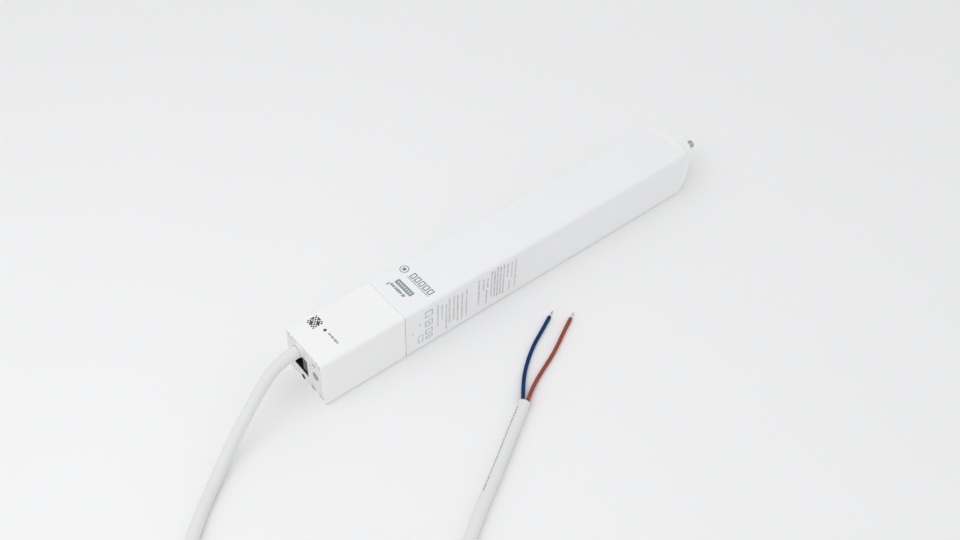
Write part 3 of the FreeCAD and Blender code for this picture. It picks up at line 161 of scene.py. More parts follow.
class MotorColours(bpy.types.PropertyGroup):
    """Colours of the visible finishes."""

    housing: FloatVectorProperty(
        name="Housing", description="Powder coat of the long tube", subtype="COLOR",
        default=(0.876, 0.878, 0.881),
    )
    moulding: FloatVectorProperty(
        name="Mouldings", description="Tail box and drive end", subtype="COLOR",
        default=(0.902, 0.902, 0.900),
    )
    # End plate colour: the moulding white made darker, painted shade of the end face turned from the light.
    plate: FloatVectorProperty(
        name="End plate", description="Plate over the tail's end", subtype="COLOR",
        default=(0.80, 0.80, 0.798),
    )
    spindle: FloatVectorProperty(
        name="Spindle", description="Sintered drive spindle", subtype="COLOR", default=(0.54, 0.545, 0.545)
    )
    cord: FloatVectorProperty(
        name="Cord", description="Sheath of the supply cord", subtype="COLOR",
        default=[channel * SHEATH_SHADE for channel in SLOT_COLOURS["white_cord"]],
    )
    blue: FloatVectorProperty(
        name="Blue wire", description="Insulation of the neutral wire", subtype="COLOR",
        default=(0.001, 0.037, 0.13),
    )
    brown: FloatVectorProperty(
        name="Brown wire", description="Insulation of the live wire", subtype="COLOR",
        default=(0.31, 0.068, 0.042),
    )
    tinned: FloatVectorProperty(
        name="Tinned strands", description="Bare ends of both wires", subtype="COLOR",
        default=(0.66, 0.65, 0.63),
    )
    zinc: FloatVectorProperty(
        name="Zinc", description="Plating of the corner screws", subtype="COLOR", default=(0.82, 0.82, 0.83)
    )
    # Painted shade: this grey is the dark line in the seam's groove and the dark ring of painted shadow round
    # the cord at the gland.
    gasket: FloatVectorProperty(
        name="Gasket", description="Line between the tail box and the tube, and the gland's seal",
        subtype="COLOR", default=(0.47, 0.47, 0.48),
    )
    pale_ink: FloatVectorProperty(
        name="Pale ink", description="Grey print on the long side", subtype="COLOR",
        default=(0.55, 0.55, 0.56),
    )
    tick_ink: FloatVectorProperty(
        name="Tick ink", description="Row of ticks on the sheath", subtype="COLOR", default=(0.27, 0.27, 0.28)
    )
    dark_ink: FloatVectorProperty(
        name="Dark ink", description="Near-black print on the tail", subtype="COLOR",
        default=(0.05, 0.05, 0.055),
    )
    bar_ink: FloatVectorProperty(
        name="Bar ink", description="Slate bar on the top face", subtype="COLOR", default=(0.28, 0.34, 0.355)
    )
    slate_ink: FloatVectorProperty(
        name="Slate ink", description="Fine marks on the top face", subtype="COLOR",
        default=(0.245, 0.28, 0.29),
    )
    floor: FloatVectorProperty(
        name="Floor", description="Table under the motor", subtype="COLOR", default=(0.9, 0.9, 0.9)
    )


class StudioSettings(bpy.types.PropertyGroup):
    """Camera, light and floor."""

    lens: FloatProperty(name="Focal length", description="Camera lens in millimetres", default=40.25)
    place: FloatVectorProperty(
        name="Camera place", description="Where the camera stands", subtype="TRANSLATION",
        default=(-0.3396, -0.3479, 0.5085),
    )
    heading: FloatProperty(
        name="Heading", description="Turn from +X towards +Y", default=0.8473, unit="ROTATION"
    )
    pitch: FloatProperty(name="Pitch", description="How far it looks down", default=0.8168, unit="ROTATION")
    roll: FloatProperty(
        name="Roll", description="Turn about the line of sight", default=0.046, unit="ROTATION"
    )
    ambient: FloatProperty(name="Ambient", description="Strength of the even light", default=0.845, min=0.0)
    lamp_power: FloatProperty(
        name="Lamp power", description="Soft box by the tail", default=0.95, unit="POWER"
    )
    lamp_place: FloatVectorProperty(
        name="Lamp place", description="Where the soft box hangs", subtype="TRANSLATION",
        default=(-0.42, -0.05, 0.62),
    )
    lamp_size: FloatProperty(name="Lamp size", description="Side of the soft box", default=0.6, unit="LENGTH")
    floor_radius: FloatProperty(
        name="Floor radius", description="Radius of the table top", default=6.0, unit="LENGTH"
    )


# Procedural finishes: every pattern lies on the piece's own object coordinates, in metres.

class Finish:
    """A material in the making: a shader tree, and the steps that finishes are built from."""

    def __init__(self, name):
        self.material = bpy.data.materials.new(name)
        self.material.use_nodes = True
        self.nodes = self.material.node_tree.nodes
        self.links = self.material.node_tree.links
        self.nodes.clear()
        self.shader = self.add_node("ShaderNodeBsdfPrincipled", (0, 0))
        output = self.add_node("ShaderNodeOutputMaterial", (320, 0))
        self.links.new(self.shader.outputs["BSDF"], output.inputs["Surface"])
        self.place = self.add_node("ShaderNodeTexCoord", (-1000, 0)).outputs["Object"]

    def add_node(self, kind, location, inputs=None):
        """A node at that place in the editor, with some of its inputs set."""
        node = self.nodes.new(kind)
        node.location = location
        for name, value in (inputs or {}).items():
            node.inputs[name].default_value = value
        return node

    def pattern(self, kind, inputs):
        """A texture on the object coordinates, so that it stays where it is on its piece."""
        texture = self.add_node(kind, (-760, 0), inputs)
        self.links.new(self.place, texture.inputs["Vector"])
        return texture

    def noise(self, feature, detail=3.0):
        """A noise whose features are about that many metres across."""
        inputs = {"Scale": 1.0 / feature, "Detail": detail, "Roughness": 0.55}
        return self.pattern("ShaderNodeTexNoise", inputs).outputs["Fac"]

    def tint(self, factor, colour, spread):
        """Base colour that drifts a little either side of the given one."""
        ramp = self.add_node("ShaderNodeValToRGB", (-360, 200))
        low, high = ramp.color_ramp.elements
        low.position = 0.3
        high.position = 0.7
        low.color = (*[channel * (1 - spread) for channel in colour], 1)
        high.color = (*[min(1.0, channel * (1 + spread)) for channel in colour], 1)
        self.links.new(factor, ramp.inputs["Fac"])
        self.links.new(ramp.outputs["Color"], self.shader.inputs["Base Color"])

    def vary_roughness(self, factor, low, high):
        """Roughness that follows a pattern between two values."""
        spread = self.add_node("ShaderNodeMapRange", (-360, -40), {"To Min": low, "To Max": high})
        self.links.new(factor, spread.inputs["Value"])
        self.links.new(spread.outputs["Result"], self.shader.inputs["Roughness"])

    def emboss(self, factor, depth):
        """Relief of about that many metres."""
        bump = self.add_node("ShaderNodeBump", (-360, -300), {"Strength": 1.0, "Distance": depth})
        self.links.new(factor, bump.inputs["Height"])
        self.links.new(bump.outputs["Normal"], self.shader.inputs["Normal"])

    def done(self, inputs):
        """Sets the shader's own plain inputs and gives the material."""
        for name, value in inputs.items():
            self.shader.inputs[name].default_value = value
        return self.material


def plain_finish(name, colour, rough, feature, depth, spread, metal=0.0):
    """Grain of one size drives roughness and relief, and a broad, faint drift the tone."""
    finish = Finish(name)
    grain = finish.noise(feature)
    finish.tint(finish.noise(feature * 30, detail=2.0), colour, spread)
    finish.vary_roughness(grain, low=rough - 0.06, high=rough + 0.06)
    finish.emboss(grain, depth)
    return finish.done({"Metallic": metal})


def powder_coat(colour):
    """Satin powder coat: soft orange peel under a finer speckle."""
    finish = Finish("powder_coat")
    peel = finish.noise(feature=0.0016, detail=2.0)
    speckle = finish.noise(feature=0.00035, detail=1.0)
    blend = finish.add_node("ShaderNodeMath", (-560, -300))
    blend.operation = "MULTIPLY_ADD"
    blend.inputs[1].default_value = 0.3
    finish.links.new(speckle, blend.inputs[0])
    finish.links.new(peel, blend.inputs[2])
    finish.tint(finish.noise(feature=0.04), colour, spread=0.006)
    finish.vary_roughness(speckle, low=0.40, high=0.52)
    finish.emboss(blend.outputs["Value"], depth=0.000012)
    return finish.done({"Specular IOR Level": 0.4})


def moulded_white(name, colour):
    """Spark-eroded plastic: even fine grain, a little warmer than the powder coat."""
    finish = Finish(name)
    grain = finish.pattern("ShaderNodeTexVoronoi", {"Scale": 1.0 / 0.0005}).outputs["Distance"]
    finish.tint(finish.noise(feature=0.03), colour, spread=0.008)
    finish.vary_roughness(grain, low=0.42, high=0.56)
    finish.emboss(grain, depth=0.000008)
    return finish.done({"Specular IOR Level": 0.4})


def cord_sheath(colour):
    """Soft extruded sheath: faint ripples of a few millimetres that its gloss follows."""
    finish = Finish("cord_sheath")
    ripple = finish.noise(feature=0.003, detail=4.0)
    finish.tint(finish.noise(feature=0.02), colour, spread=0.012)
    finish.vary_roughness(ripple, low=0.38, high=0.55)
    finish.emboss(ripple, depth=0.00003)
    return finish.done({"Subsurface Weight": 0.06, "Subsurface Radius": (0.002, 0.002, 0.002)})


def wire_insulation(name, colour):
    """Satin thin-walled insulation that just shows the lay of the strands under it."""
    finish = Finish(name)
    lay = finish.noise(feature=0.0012, detail=2.0)
    finish.tint(finish.noise(feature=0.006), colour, spread=0.10)
    finish.vary_roughness(lay, low=0.38, high=0.55)
    finish.emboss(lay, depth=0.00004)
    return finish.done({"Specular IOR Level": 0.12})


def machined_metal(name, colour, rough, metal=1.0):
    """Turned metal: rings of tool marks across the motor's axis."""
    finish = Finish(name)
    rings = finish.pattern("ShaderNodeTexWave", {"Scale": 900.0, "Distortion": 1.5})
    rings.bands_direction = "X"
    finish.tint(finish.noise(feature=0.004), colour, spread=0.08)
    finish.vary_roughness(finish.noise(feature=0.0012), low=rough - 0.08, high=rough + 0.1)
    finish.emboss(rings.outputs["Fac"], depth=0.000006)
    return finish.done({"Metallic": metal})


def lacquered_board(name, colour):
    """Circuit board: copper tracks as a brick pattern under green lacquer."""
    finish = Finish(name)
    tracks = finish.pattern("ShaderNodeTexBrick", {
        "Scale": 320.0, "Mortar Size": 0.06, "Color1": (*colour, 1),
        "Color2": (*[channel * 0.8 for channel in colour], 1),
        "Mortar": (*[min(1.0, channel * 1.7) for channel in colour], 1),
    })
    finish.links.new(tracks.outputs["Color"], finish.shader.inputs["Base Color"])
    finish.emboss(tracks.outputs["Fac"], depth=0.00002)
    return finish.done({"Roughness": 0.28})


def wound_copper(name, colour):
    """Enamelled winding: close bands of wire."""
    finish = Finish(name)
    bands = finish.pattern("ShaderNodeTexWave", {"Scale": 700.0})
    bands.bands_direction = "DIAGONAL"
    finish.tint(bands.outputs["Fac"], colour, spread=0.25)
    finish.vary_roughness(bands.outputs["Fac"], low=0.25, high=0.45)
    finish.emboss(bands.outputs["Fac"], depth=0.0001)
    return finish.done({"Metallic": 0.85})


# Finishes of one grain: roughness, grain size, relief depth, spread of tone and, last, metalness.
PLAIN_FINISHES = {
    "black_plastic": (0.32, 0.0006, 0.00001, 0.1),
    "grey_button": (0.45, 0.0005, 0.00001, 0.03),
    "clear_lens": (0.16, 0.0008, 0.000004, 0.05),
    "ferrite": (0.7, 0.0004, 0.00002, 0.15),
    "dark_rubber": (0.8, 0.0007, 0.00003, 0.12),
    "gear_plastic": (0.42, 0.0006, 0.00001, 0.03),
    "sintered_gear": (0.6, 0.0003, 0.00002, 0.12, 0.9),
    "component_yellow": (0.35, 0.0008, 0.00001, 0.05),
}

# Thin pad print, a little uneven in tone: its values in the same order, and the inks printed so.
PAD_PRINT = (0.55, 0.0004, 0.000004, 0.12)
INKS = ("pale_ink", "tick_ink", "dark_ink", "bar_ink", "slate_ink")

# Parts of the frame whose finish isn't the plain one of their slot. The end plate and the gland's collar take
# a darker copy of the moulding white: painted shade of faces turned from the light.
OWN_FINISHES = {
    "end_plate": "plate_white", "cord_gland": "plate_white", "tail_screws": "zinc_plate",
    "drive_end_screws": "zinc_plate", "bare_wire_tips": "tinned_strands",
}

# Names of the finished materials, by slot, ink or own finish.
MATERIAL_NAMES = {}


def make_finishes(colours):
    """One material for each slot of the record, the inks and the finishes of single parts."""
    made = {
        "white_housing": powder_coat(tuple(colours.housing)),
        "white_plastic": moulded_white("moulded_white", tuple(colours.moulding)),
        # Darker copy of the moulding white for the end plate and the gland's collar: painted shade.
        "plate_white": moulded_white("plate_white", tuple(colours.plate)),
        "white_cord": cord_sheath(tuple(colours.cord)),
        "blue_insulation": wire_insulation("blue_insulation", tuple(colours.blue)),
        "brown_insulation": wire_insulation("brown_insulation", tuple(colours.brown)),
        "steel": machined_metal("steel", SLOT_COLOURS["steel"], 0.32),
        "grey_spindle": machined_metal("grey_spindle", tuple(colours.spindle), 0.48, 0.7),
        "brass": machined_metal("brass", SLOT_COLOURS["brass"], 0.3),
        "copper": machined_metal("copper", SLOT_COLOURS["copper"], 0.34),
        "green_board": lacquered_board("green_board", SLOT_COLOURS["green_board"]),
        "winding": wound_copper("winding", SLOT_COLOURS["winding"]),
        "tinned_strands": machined_metal("tinned_strands", tuple(colours.tinned), 0.4, 0.8),
        "zinc_plate": machined_metal("zinc_plate", tuple(colours.zinc), 0.42, 0.7),
        # Grey of the painted shade in the seam and of the painted shadow round the cord at the gland.
        "gasket": plain_finish("gasket", tuple(colours.gasket), 0.75, 0.0005, 0.00001, 0.06),
    }
    for name, settings in PLAIN_FINISHES.items():
        made[name] = plain_finish(name, SLOT_COLOURS[name], *settings)
    for name in INKS:
        made[name] = plain_finish(name, tuple(getattr(colours, name)), *PAD_PRINT)
    return made


def finish_of(name):
    """The material made for a slot, an ink or a single part's own finish."""
    return bpy.data.materials[MATERIAL_NAMES[name]]


# Helpers that turn bmeshes and routes into pieces

UP = Vector((0, 0, 1))
SHARP_ANGLE = math.radians(35)

# Turned shapes: steps all round, steps from a dome's crown to its rim, and how near points are merged.
SPIN_STEPS = 40
DOME_STEPS = 6
MERGE_REACH = 1e-6


def dress(piece, finish):
    """Gives a piece its finish and the housing to ride on."""
    piece.data.materials.append(finish_of(finish))
    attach(piece, "housing")


def add_piece(name, bm, slot_name, ink=None):
    """A finished bmesh as a dressed piece, smooth but for its sharp edges."""
    mesh = bpy.data.meshes.new(name)
    bm.to_mesh(mesh)
    bm.free()
    mesh.shade_smooth()
    mesh.set_sharp_from_angle(angle=SHARP_ANGLE)
    piece = bpy.data.objects.new(name, mesh)
    bpy.context.scene.collection.objects.link(piece)
    dress(piece, ink or slot_name)
    return piece


def new_line(name, diameter, steps, roundness):
    """A round line with no spline yet, and how finely its splines are stepped and rounded."""
    curve = bpy.data.curves.new(name, "CURVE")
    curve.dimensions = "3D"
    curve.resolution_u = steps
    curve.bevel_depth = diameter / 2
    curve.bevel_resolution = roundness
    curve.use_fill_caps = True
    line = bpy.data.objects.new(name, curve)
    bpy.context.scene.collection.objects.link(line)
    return line


def add_spline(line, route):
    """One open, smooth spline that has the route's points as its control points."""
    spline = line.data.splines.new("NURBS")
    spline.points.add(len(route) - 1)
    for point, place in zip(spline.points, route):
        point.co = (*place, 1.0)
    spline.order_u = 3
    spline.use_endpoint_u = True


def middle_line(line):
    """The points of a line's own middle, read from its spline with no bevel."""
    bare = line.data.copy()
    bare.bevel_depth = 0.0
    bare.use_fill_caps = False
    carrier = bpy.data.objects.new(line.name + "_middle", bare)
    mesh = bpy.data.meshes.new_from_object(carrier)
    points = [vertex.co.copy() for vertex in mesh.vertices]
    bpy.data.objects.remove(carrier)
    bpy.data.curves.remove(bare)
    bpy.data.meshes.remove(mesh)
    return points


def length_of(middle):
    """Length of a middle line."""
    return sum((there - here).length for here, there in zip(middle, middle[1:]))


def point_along(middle, distance):
    """The place and outward heading that far back from the last point of a middle line."""
    travelled = 0.0
    for here, there in zip(reversed(middle[1:]), reversed(middle[:-1])):
        step = (there - here).length
        if travelled + step >= distance:
            return here.lerp(there, (distance - travelled) / step), (here - there).normalized()
        travelled += step
    raise ValueError("the line is shorter than the distance asked for")


def turned(bm, profile, middle):
    """Spins a profile of (x, radius) pairs about the line along X through the middle."""
    middle = Vector(middle)
    verts = [bm.verts.new((x, middle.y, middle.z + radius)) for x, radius in profile]
    edges = [bm.edges.new(pair) for pair in zip(verts, verts[1:])]
    bmesh.ops.spin(
        bm, geom=verts + edges, cent=(0.0, middle.y, middle.z), axis=(1.0, 0.0, 0.0), dvec=(0.0, 0.0, 0.0),
        angle=2 * math.pi, steps=SPIN_STEPS, use_merge=True, use_normal_flip=False, use_duplicate=False,
    )
    bmesh.ops.remove_doubles(bm, verts=bm.verts, dist=MERGE_REACH)
    bmesh.ops.recalc_face_normals(bm, faces=bm.faces)


def dome(front, depth, radius):
    """Profile of a low dome: from its crown at the front out to its rim, that deep behind it."""
    profile = [(front, 0.0)]
    for step in range(1, DOME_STEPS + 1):
        angle = math.pi / 2 * step / DOME_STEPS
        profile.append((front + depth * (1 - math.cos(angle)), radius * math.sin(angle)))
    return profile


def edges_among(bm, verts):
    """The edges that join the given vertices to each other."""
    chosen = set(verts)
    return [edge for edge in bm.edges if edge.verts[0] in chosen and edge.verts[1] in chosen]


# Supply cord

# Strain relief: how far its thin end stands off the sheath, and how fast it thins down.
RELIEF_LIP = 0.00012
RELIEF_TAPER = 1.4
RELIEF_SEGMENTS = 40

# Filler at the cut end: its radius and its sloping rim in cord diameters, how far it stands out, and its gap.
FILLER_RADIUS, FILLER_RIM = 0.39, 0.05
FILLER_RISE, FILLER_GAP = 0.0003, 0.00005

# Ticks on the sheath: where they start and stop, back from its cut end, their size and how far up the side.
TICKS_FROM_END = (0.0052, 0.0650)
TICK_LENGTHS = (0.0006, 0.0017)
TICK_GAP = 0.0007
TICK_WIDTH = 0.0009
TICK_RISE = math.radians(40)


def coil_points(sizes):
    """Control points of the coil: in along the table, up half a turn at the middle, and out again."""
    rest = sizes.cord_diameter / 2
    outer, pitch = sizes.coil_radius, sizes.coil_pitch
    inner = outer - pitch * (COIL_CLIMB - COIL_START) / 360
    # The spline runs inside its control points, so they stand that much further out.
    outwards = 1 / math.cos(math.pi / COIL_STEPS)
    points = []
    turn = COIL_START
    while turn <= COIL_END:
        if turn <= COIL_CLIMB:
            radius = outer - pitch * (turn - COIL_START) / 360
            height = rest
        elif turn <= COIL_UPPER:
            share = (turn - COIL_CLIMB) / (COIL_UPPER - COIL_CLIMB)
            radius = inner - pitch / COIL_TUCK * math.sin(math.pi * share)
            height = rest + pitch * (1 - math.cos(math.pi * share)) / 2
        else:
            radius = inner + (outer - inner) * (turn - COIL_UPPER) / (COIL_END - COIL_UPPER)
            height = rest + pitch
        angle = math.radians(turn)
        x = COIL_MIDDLE[0] + radius * outwards * math.cos(angle)
        y = COIL_MIDDLE[1] + radius * outwards * math.sin(angle)
        points.append((x, y, height))
        turn += 360 / COIL_STEPS
    return points


class MOTOR_OT_supply_cord(bpy.types.Operator):
    """Lays the sheathed cord from the gland through its coil to the stripped end"""

    bl_idname = "motor.supply_cord"
    bl_label = "Supply cord"

    def execute(self, context):
        sizes = context.scene.motor_sizes
        cord = new_line("supply_lead", sizes.cord_diameter, steps=6, roundness=5)
        add_spline(cord, CORD_NEAR + coil_points(sizes) + CORD_FAR)
        dress(cord, "white_cord")
        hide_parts("supply_cord", "supply_cord_coil", "supply_cord_end")
        middle = middle_line(cord)
        cord["length_m"] = length_of(middle)
        relief = self.add_relief(middle, sizes)
        core = self.add_core(middle, sizes)
        ticks = self.add_ticks(middle, sizes)
        return {"FINISHED"}

    def add_relief(self, middle, sizes):
        """Tapered sleeve that leaves the gland with the cord and thins down to it."""
        rings = []
        bm = bmesh.new()
        travelled = 0.0
        for here, there in zip(middle, middle[1:]):
            share = min(1.0, travelled / sizes.relief_length)
            fade = (1.0 - share) ** RELIEF_TAPER
            radius = sizes.cord_diameter / 2 + RELIEF_LIP
            radius += (sizes.relief_diameter / 2 - radius) * fade
            turn = (there - here).to_track_quat("Z", "Y").to_matrix().to_4x4()
            place = Matrix.Translation(here) @ turn
            ring = bmesh.ops.create_circle(bm, segments=RELIEF_SEGMENTS, radius=radius, matrix=place)
            rings.append(edges_among(bm, ring["verts"]))
            travelled += (there - here).length
            if share == 1.0:
                break
        for before, after in zip(rings, rings[1:]):
            bmesh.ops.bridge_loops(bm, edges=before + after)
        bmesh.ops.edgenet_fill(bm, edges=rings[0])
        bmesh.ops.edgenet_fill(bm, edges=rings[-1])
        bmesh.ops.recalc_face_normals(bm, faces=bm.faces)
        return add_piece("strain_relief", bm, "white_cord")

    def add_core(self, middle, sizes):
        """Filler that shows between the two wires at the cut end of the sheath."""
        end, before = middle[-1], middle[-2]
        heading = (end - before).normalized()
        bm = bmesh.new()
        bmesh.ops.create_circle(bm, cap_ends=True, segments=32, radius=sizes.cord_diameter * FILLER_RADIUS)
        face = bm.faces[:][0]
        bmesh.ops.inset_region(
            bm, faces=[face], use_boundary=True, use_even_offset=True,
            thickness=sizes.cord_diameter * FILLER_RIM, depth=FILLER_RISE,
        )
        bmesh.ops.recalc_face_normals(bm, faces=bm.faces)
        turn = heading.to_track_quat("Z", "Y").to_matrix().to_4x4()
        place = Matrix.Translation(end + heading * FILLER_GAP) @ turn
        bmesh.ops.transform(bm, matrix=place, verts=bm.verts)
        return add_piece("sheath_filler", bm, "white_cord")

    def add_ticks(self, middle, sizes):
        """Row of short plain ticks along the sheath's side, as sheaths carry."""
        radius = sizes.cord_diameter / 2 + sizes.ink_thickness
        bm = bmesh.new()
        spread = random.Random(5)
        travelled = TICKS_FROM_END[0]
        while travelled < TICKS_FROM_END[1]:
            length = spread.uniform(*TICK_LENGTHS)
            place, heading = point_along(middle, travelled + length / 2)
            self.add_tick(bm, place, heading, radius, length)
            travelled += length + TICK_GAP
        return add_piece("sheath_ticks", bm, "white_cord", ink="tick_ink")

    def add_tick(self, bm, place, heading, radius, length):
        """One tick as a small tile that lies on the sheath, up its left side."""
        left = UP.cross(heading).normalized()
        outwards = (left * math.cos(TICK_RISE) + UP * math.sin(TICK_RISE)).normalized()
        across = heading.cross(outwards)
        basis = Matrix((heading, across, outwards)).transposed().to_4x4()
        matrix = Matrix.Translation(place + outwards * radius) @ basis
        matrix @= Matrix.Diagonal((length, TICK_WIDTH, 1, 1))
        bmesh.ops.create_grid(bm, x_segments=1, y_segments=1, size=0.5, matrix=matrix)


# Bare strands: distance from the middle one in strand diameters, twist, how far they flare at the tip,
# their uneven lengths, the points along each, and how deep they start inside the insulation.
STRAND_REACH = 1.25
STRAND_TWIST = 2.4
STRAND_FLARE = 0.5
STRAND_SHARES = (0.86, 1.0)
STRAND_POINTS = 7
STRAND_ROOT = 0.0004


def add_strands(name, wire, sizes):
    """Bare strands twisted about the wire's own heading, with a slightly frayed tip."""
    middle = middle_line(wire)
    end = middle[-1]
    heading = (end - middle[-3]).normalized()
    side = heading.cross(UP).normalized()
    up = side.cross(heading)
    strands = new_line(name, sizes.strand_diameter, steps=3, roundness=1)
    fray = random.Random(name)
    for strand in range(sizes.strand_count + 1):
        reach = 0.0 if strand == 0 else sizes.strand_diameter * STRAND_REACH
        start = 2 * math.pi * strand / sizes.strand_count
        length = sizes.strand_length * fray.uniform(*STRAND_SHARES)
        route = []
        for step in range(STRAND_POINTS):
            along = step / (STRAND_POINTS - 1)
            angle = start + STRAND_TWIST * along
            out = reach * (1.0 + STRAND_FLARE * along ** 3)
            place = end + heading * (length * along - STRAND_ROOT)
            place += side * (out * math.cos(angle)) + up * (out * math.sin(angle))
            route.append(place)
        add_spline(strands, route)
    dress(strands, "tinned_strands")
    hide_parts("bare_wire_tips")
    return strands


class MOTOR_OT_supply_wires(bpy.types.Operator):
    """Adds the two insulated wires at the cord's end and their bare strands"""

    bl_idname = "motor.supply_wires"
    bl_label = "Supply wires"

    def execute(self, context):
        sizes = context.scene.motor_sizes
        for colour, route in (("blue", BLUE_ROUTE), ("brown", BROWN_ROUTE)):
            wire = new_line(colour + "_conductor", sizes.wire_diameter, steps=6, roundness=5)
            add_spline(wire, route)
            dress(wire, colour + "_insulation")
            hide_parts(colour + "_wire")
            strands = add_strands(colour + "_strands", wire, sizes)
            length_of(middle_line(wire))
        return {"FINISHED"}


# Small fittings of the end plate and the seam

# Reset plunger, whose black is partly painted shade deep in the hole: its place across and up, the radii of
# its head and stem, how deep its crown is sunk, how domed and how long its head is, and the outer radius of
# the black ring round the hole, painted shade of its edge, and how far it stands proud.
RESET_PLACE = (0.0045, 0.0042)
RESET_HEAD, RESET_STEM = 0.00148, 0.00130
RESET_SUNK, RESET_DOME, RESET_LENGTH = 0.0001, 0.0004, 0.0019
SHADE_RING_RADIUS, SHADE_RING_PROUD = 0.00188, 0.00008

# Dark ring round the cord on the gland, painted shadow of a gap: how wide it is and how far it stands proud.
SHADOW_RING_WIDTH, SHADOW_RING_PROUD = 0.0004, 0.0001

# Lens: its radius, how far its crown stands out and how far it goes in.
LENS_RADIUS, LENS_CROWN, LENS_SKIRT = 0.00148, 0.0003, 0.0002

# Dark line in the seam, painted shade of its groove: how wide it is, how far it stays under the sides and,
# further so that it reads fainter where the groove on top is lit, under the top, how deep it goes, and the
# radius of the tube's own corners.
SHADE_LINE_WIDTH = 0.0004
SHADE_LINE_SINK = 0.00013
SHADE_LINE_SINK_TOP = 0.00029
SHADE_LINE_DEPTH = 0.0012
CORNER_RADIUS = 0.002


def middle_of(node):
    """Middle of a node's box at rest."""
    low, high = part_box(node)
    return (low + high) / 2


class MOTOR_OT_end_fittings(bpy.types.Operator):
    """Adds a dark ring round the cord at the gland as painted shadow of a gap, the black reset plunger with a
    black ring of painted shade round its hole, and the lens's crown
    """

    bl_idname = "motor.end_fittings"
    bl_label = "End fittings"

    def execute(self, context):
        self.add_shadow_ring(context.scene.motor_sizes)
        self.add_plunger()
        self.add_lens()
        return {"FINISHED"}

    def add_shadow_ring(self, sizes):
        """Grey ring between the gland's collar and the strain relief that leaves it: painted shadow of a gap
        round the cord.
        """
        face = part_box("cord_gland")[0].x
        inner = sizes.relief_diameter / 2 - SHADOW_RING_WIDTH / 4
        outer = inner + SHADOW_RING_WIDTH
        front, back = face - SHADOW_RING_PROUD, face + SHADOW_RING_PROUD
        profile = [(back, inner), (front, inner), (front, outer), (back, outer)]
        bm = bmesh.new()
        turned(bm, profile + profile[:1], middle_of("cord_gland"))
        add_piece("gland_seal", bm, "dark_rubber", ink="gasket")

    def add_plunger(self):
        """Black plunger in the reset hole, on a stem from the board's edge, its black partly painted shade of
        the hole, and a thin black ring round the hole: painted shade of its edge.
        """
        top = PLATE_FACE + RESET_SUNK
        neck = top + RESET_LENGTH
        profile = dome(top, RESET_DOME, RESET_HEAD)
        profile += [(neck, RESET_HEAD), (neck, RESET_STEM), (BOARD_EDGE, RESET_STEM), (BOARD_EDGE, 0.0)]
        bm = bmesh.new()
        turned(bm, profile, (0.0, *RESET_PLACE))
        add_piece("reset_plunger", bm, "black_plastic")
        front = PLATE_FACE - SHADE_RING_PROUD
        profile = [(neck, RESET_HEAD), (front, RESET_HEAD), (front, SHADE_RING_RADIUS), (PLATE_FACE, SHADE_RING_RADIUS)]
        bm = bmesh.new()
        turned(bm, profile + profile[:1], (0.0, *RESET_PLACE))
        add_piece("reset_rim", bm, "black_plastic")

    def add_lens(self):
        """Low crown of the status lens."""
        profile = dome(PLATE_FACE - LENS_CROWN, LENS_CROWN, LENS_RADIUS)
        profile += [(PLATE_FACE + LENS_SKIRT, LENS_RADIUS), (PLATE_FACE + LENS_SKIRT, 0.0)]
        bm = bmesh.new()
        turned(bm, profile, middle_of("status_lens"))
        add_piece("lens_crown", bm, "clear_lens")


class MOTOR_OT_seam_shade_line(bpy.types.Operator):
    """Adds a thin dark line between the tail box and the long tube: painted shade of the seam's groove"""

    bl_idname = "motor.seam_gasket"
    bl_label = "Seam gasket"

    def execute(self, context):
        low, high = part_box("main_housing")
        width = high.y - low.y - 2 * SHADE_LINE_SINK
        height = high.z - low.z - 2 * SHADE_LINE_SINK_TOP
        upright = Matrix.Rotation(math.radians(90), 4, "Y")
        place = Matrix.Translation((SEAM - SHADE_LINE_WIDTH / 2, 0.0, (low.z + high.z) / 2))
        bm = bmesh.new()
        matrix = place @ upright @ Matrix.Diagonal((height, width, 1, 1))
        bmesh.ops.create_grid(bm, x_segments=1, y_segments=1, size=0.5, matrix=matrix)
        bmesh.ops.bevel(
            bm, geom=bm.verts[:], offset=CORNER_RADIUS - SHADE_LINE_SINK, offset_type="OFFSET", affect="VERTICES",
            segments=6, profile=0.5, material=-1,
        )
        middle = bm.faces[:]
        bmesh.ops.inset_region(
            bm, faces=middle, use_boundary=True, use_even_offset=True, thickness=SHADE_LINE_DEPTH,
        )
        bmesh.ops.delete(bm, geom=middle, context="FACES")
        grown = bmesh.ops.extrude_face_region(bm, geom=bm.faces[:])
        moved = [item for item in grown["geom"] if isinstance(item, bmesh.types.BMVert)]
        bmesh.ops.translate(bm, verts=moved, vec=(SHADE_LINE_WIDTH, 0.0, 0.0))
        bmesh.ops.recalc_face_normals(bm, faces=bm.faces)
        add_piece("seam_gasket", bm, "dark_rubber", ink="gasket")
        return {"FINISHED"}


# Print on the housing, as plain marks. Places and sizes are in millimetres, distances from the tail face.

# Each line of print on the side: distance along and the heights of its two ends.
SIDE_LINES = [
    (81.9, 31.2, 11.0), (85.1, 29.3, 15.7), (88.3, 27.3, 4.8), (90.8, 30.8, 8.9), (94.2, 30.8, 8.5),
    (97.1, 29.6, 6.5), (100.5, 29.7, 5.5), (104.0, 30.3, 5.5),
    (113.7, 31.2, 8.6), (117.3, 29.6, 20.0), (119.9, 18.9, 6.4), (120.6, 28.7, 20.6), (123.7, 32.7, 10.0),
    (126.3, 31.5, 8.0), (128.6, 33.1, 6.5), (131.0, 32.2, 6.6), (133.6, 32.4, 6.5), (136.6, 31.4, 18.9),
    (138.6, 14.8, 5.6), (140.1, 30.8, 16.6), (143.2, 31.4, 5.3),
]
LINE_WIDTH = 1.4
MARK_LENGTH, MARK_GAP, WORD_GAP = 0.66, 0.14, 0.45
MARK_WIDTHS = (0.7, 0.7, 1.0)
MARKS_IN_WORD = (2, 8)

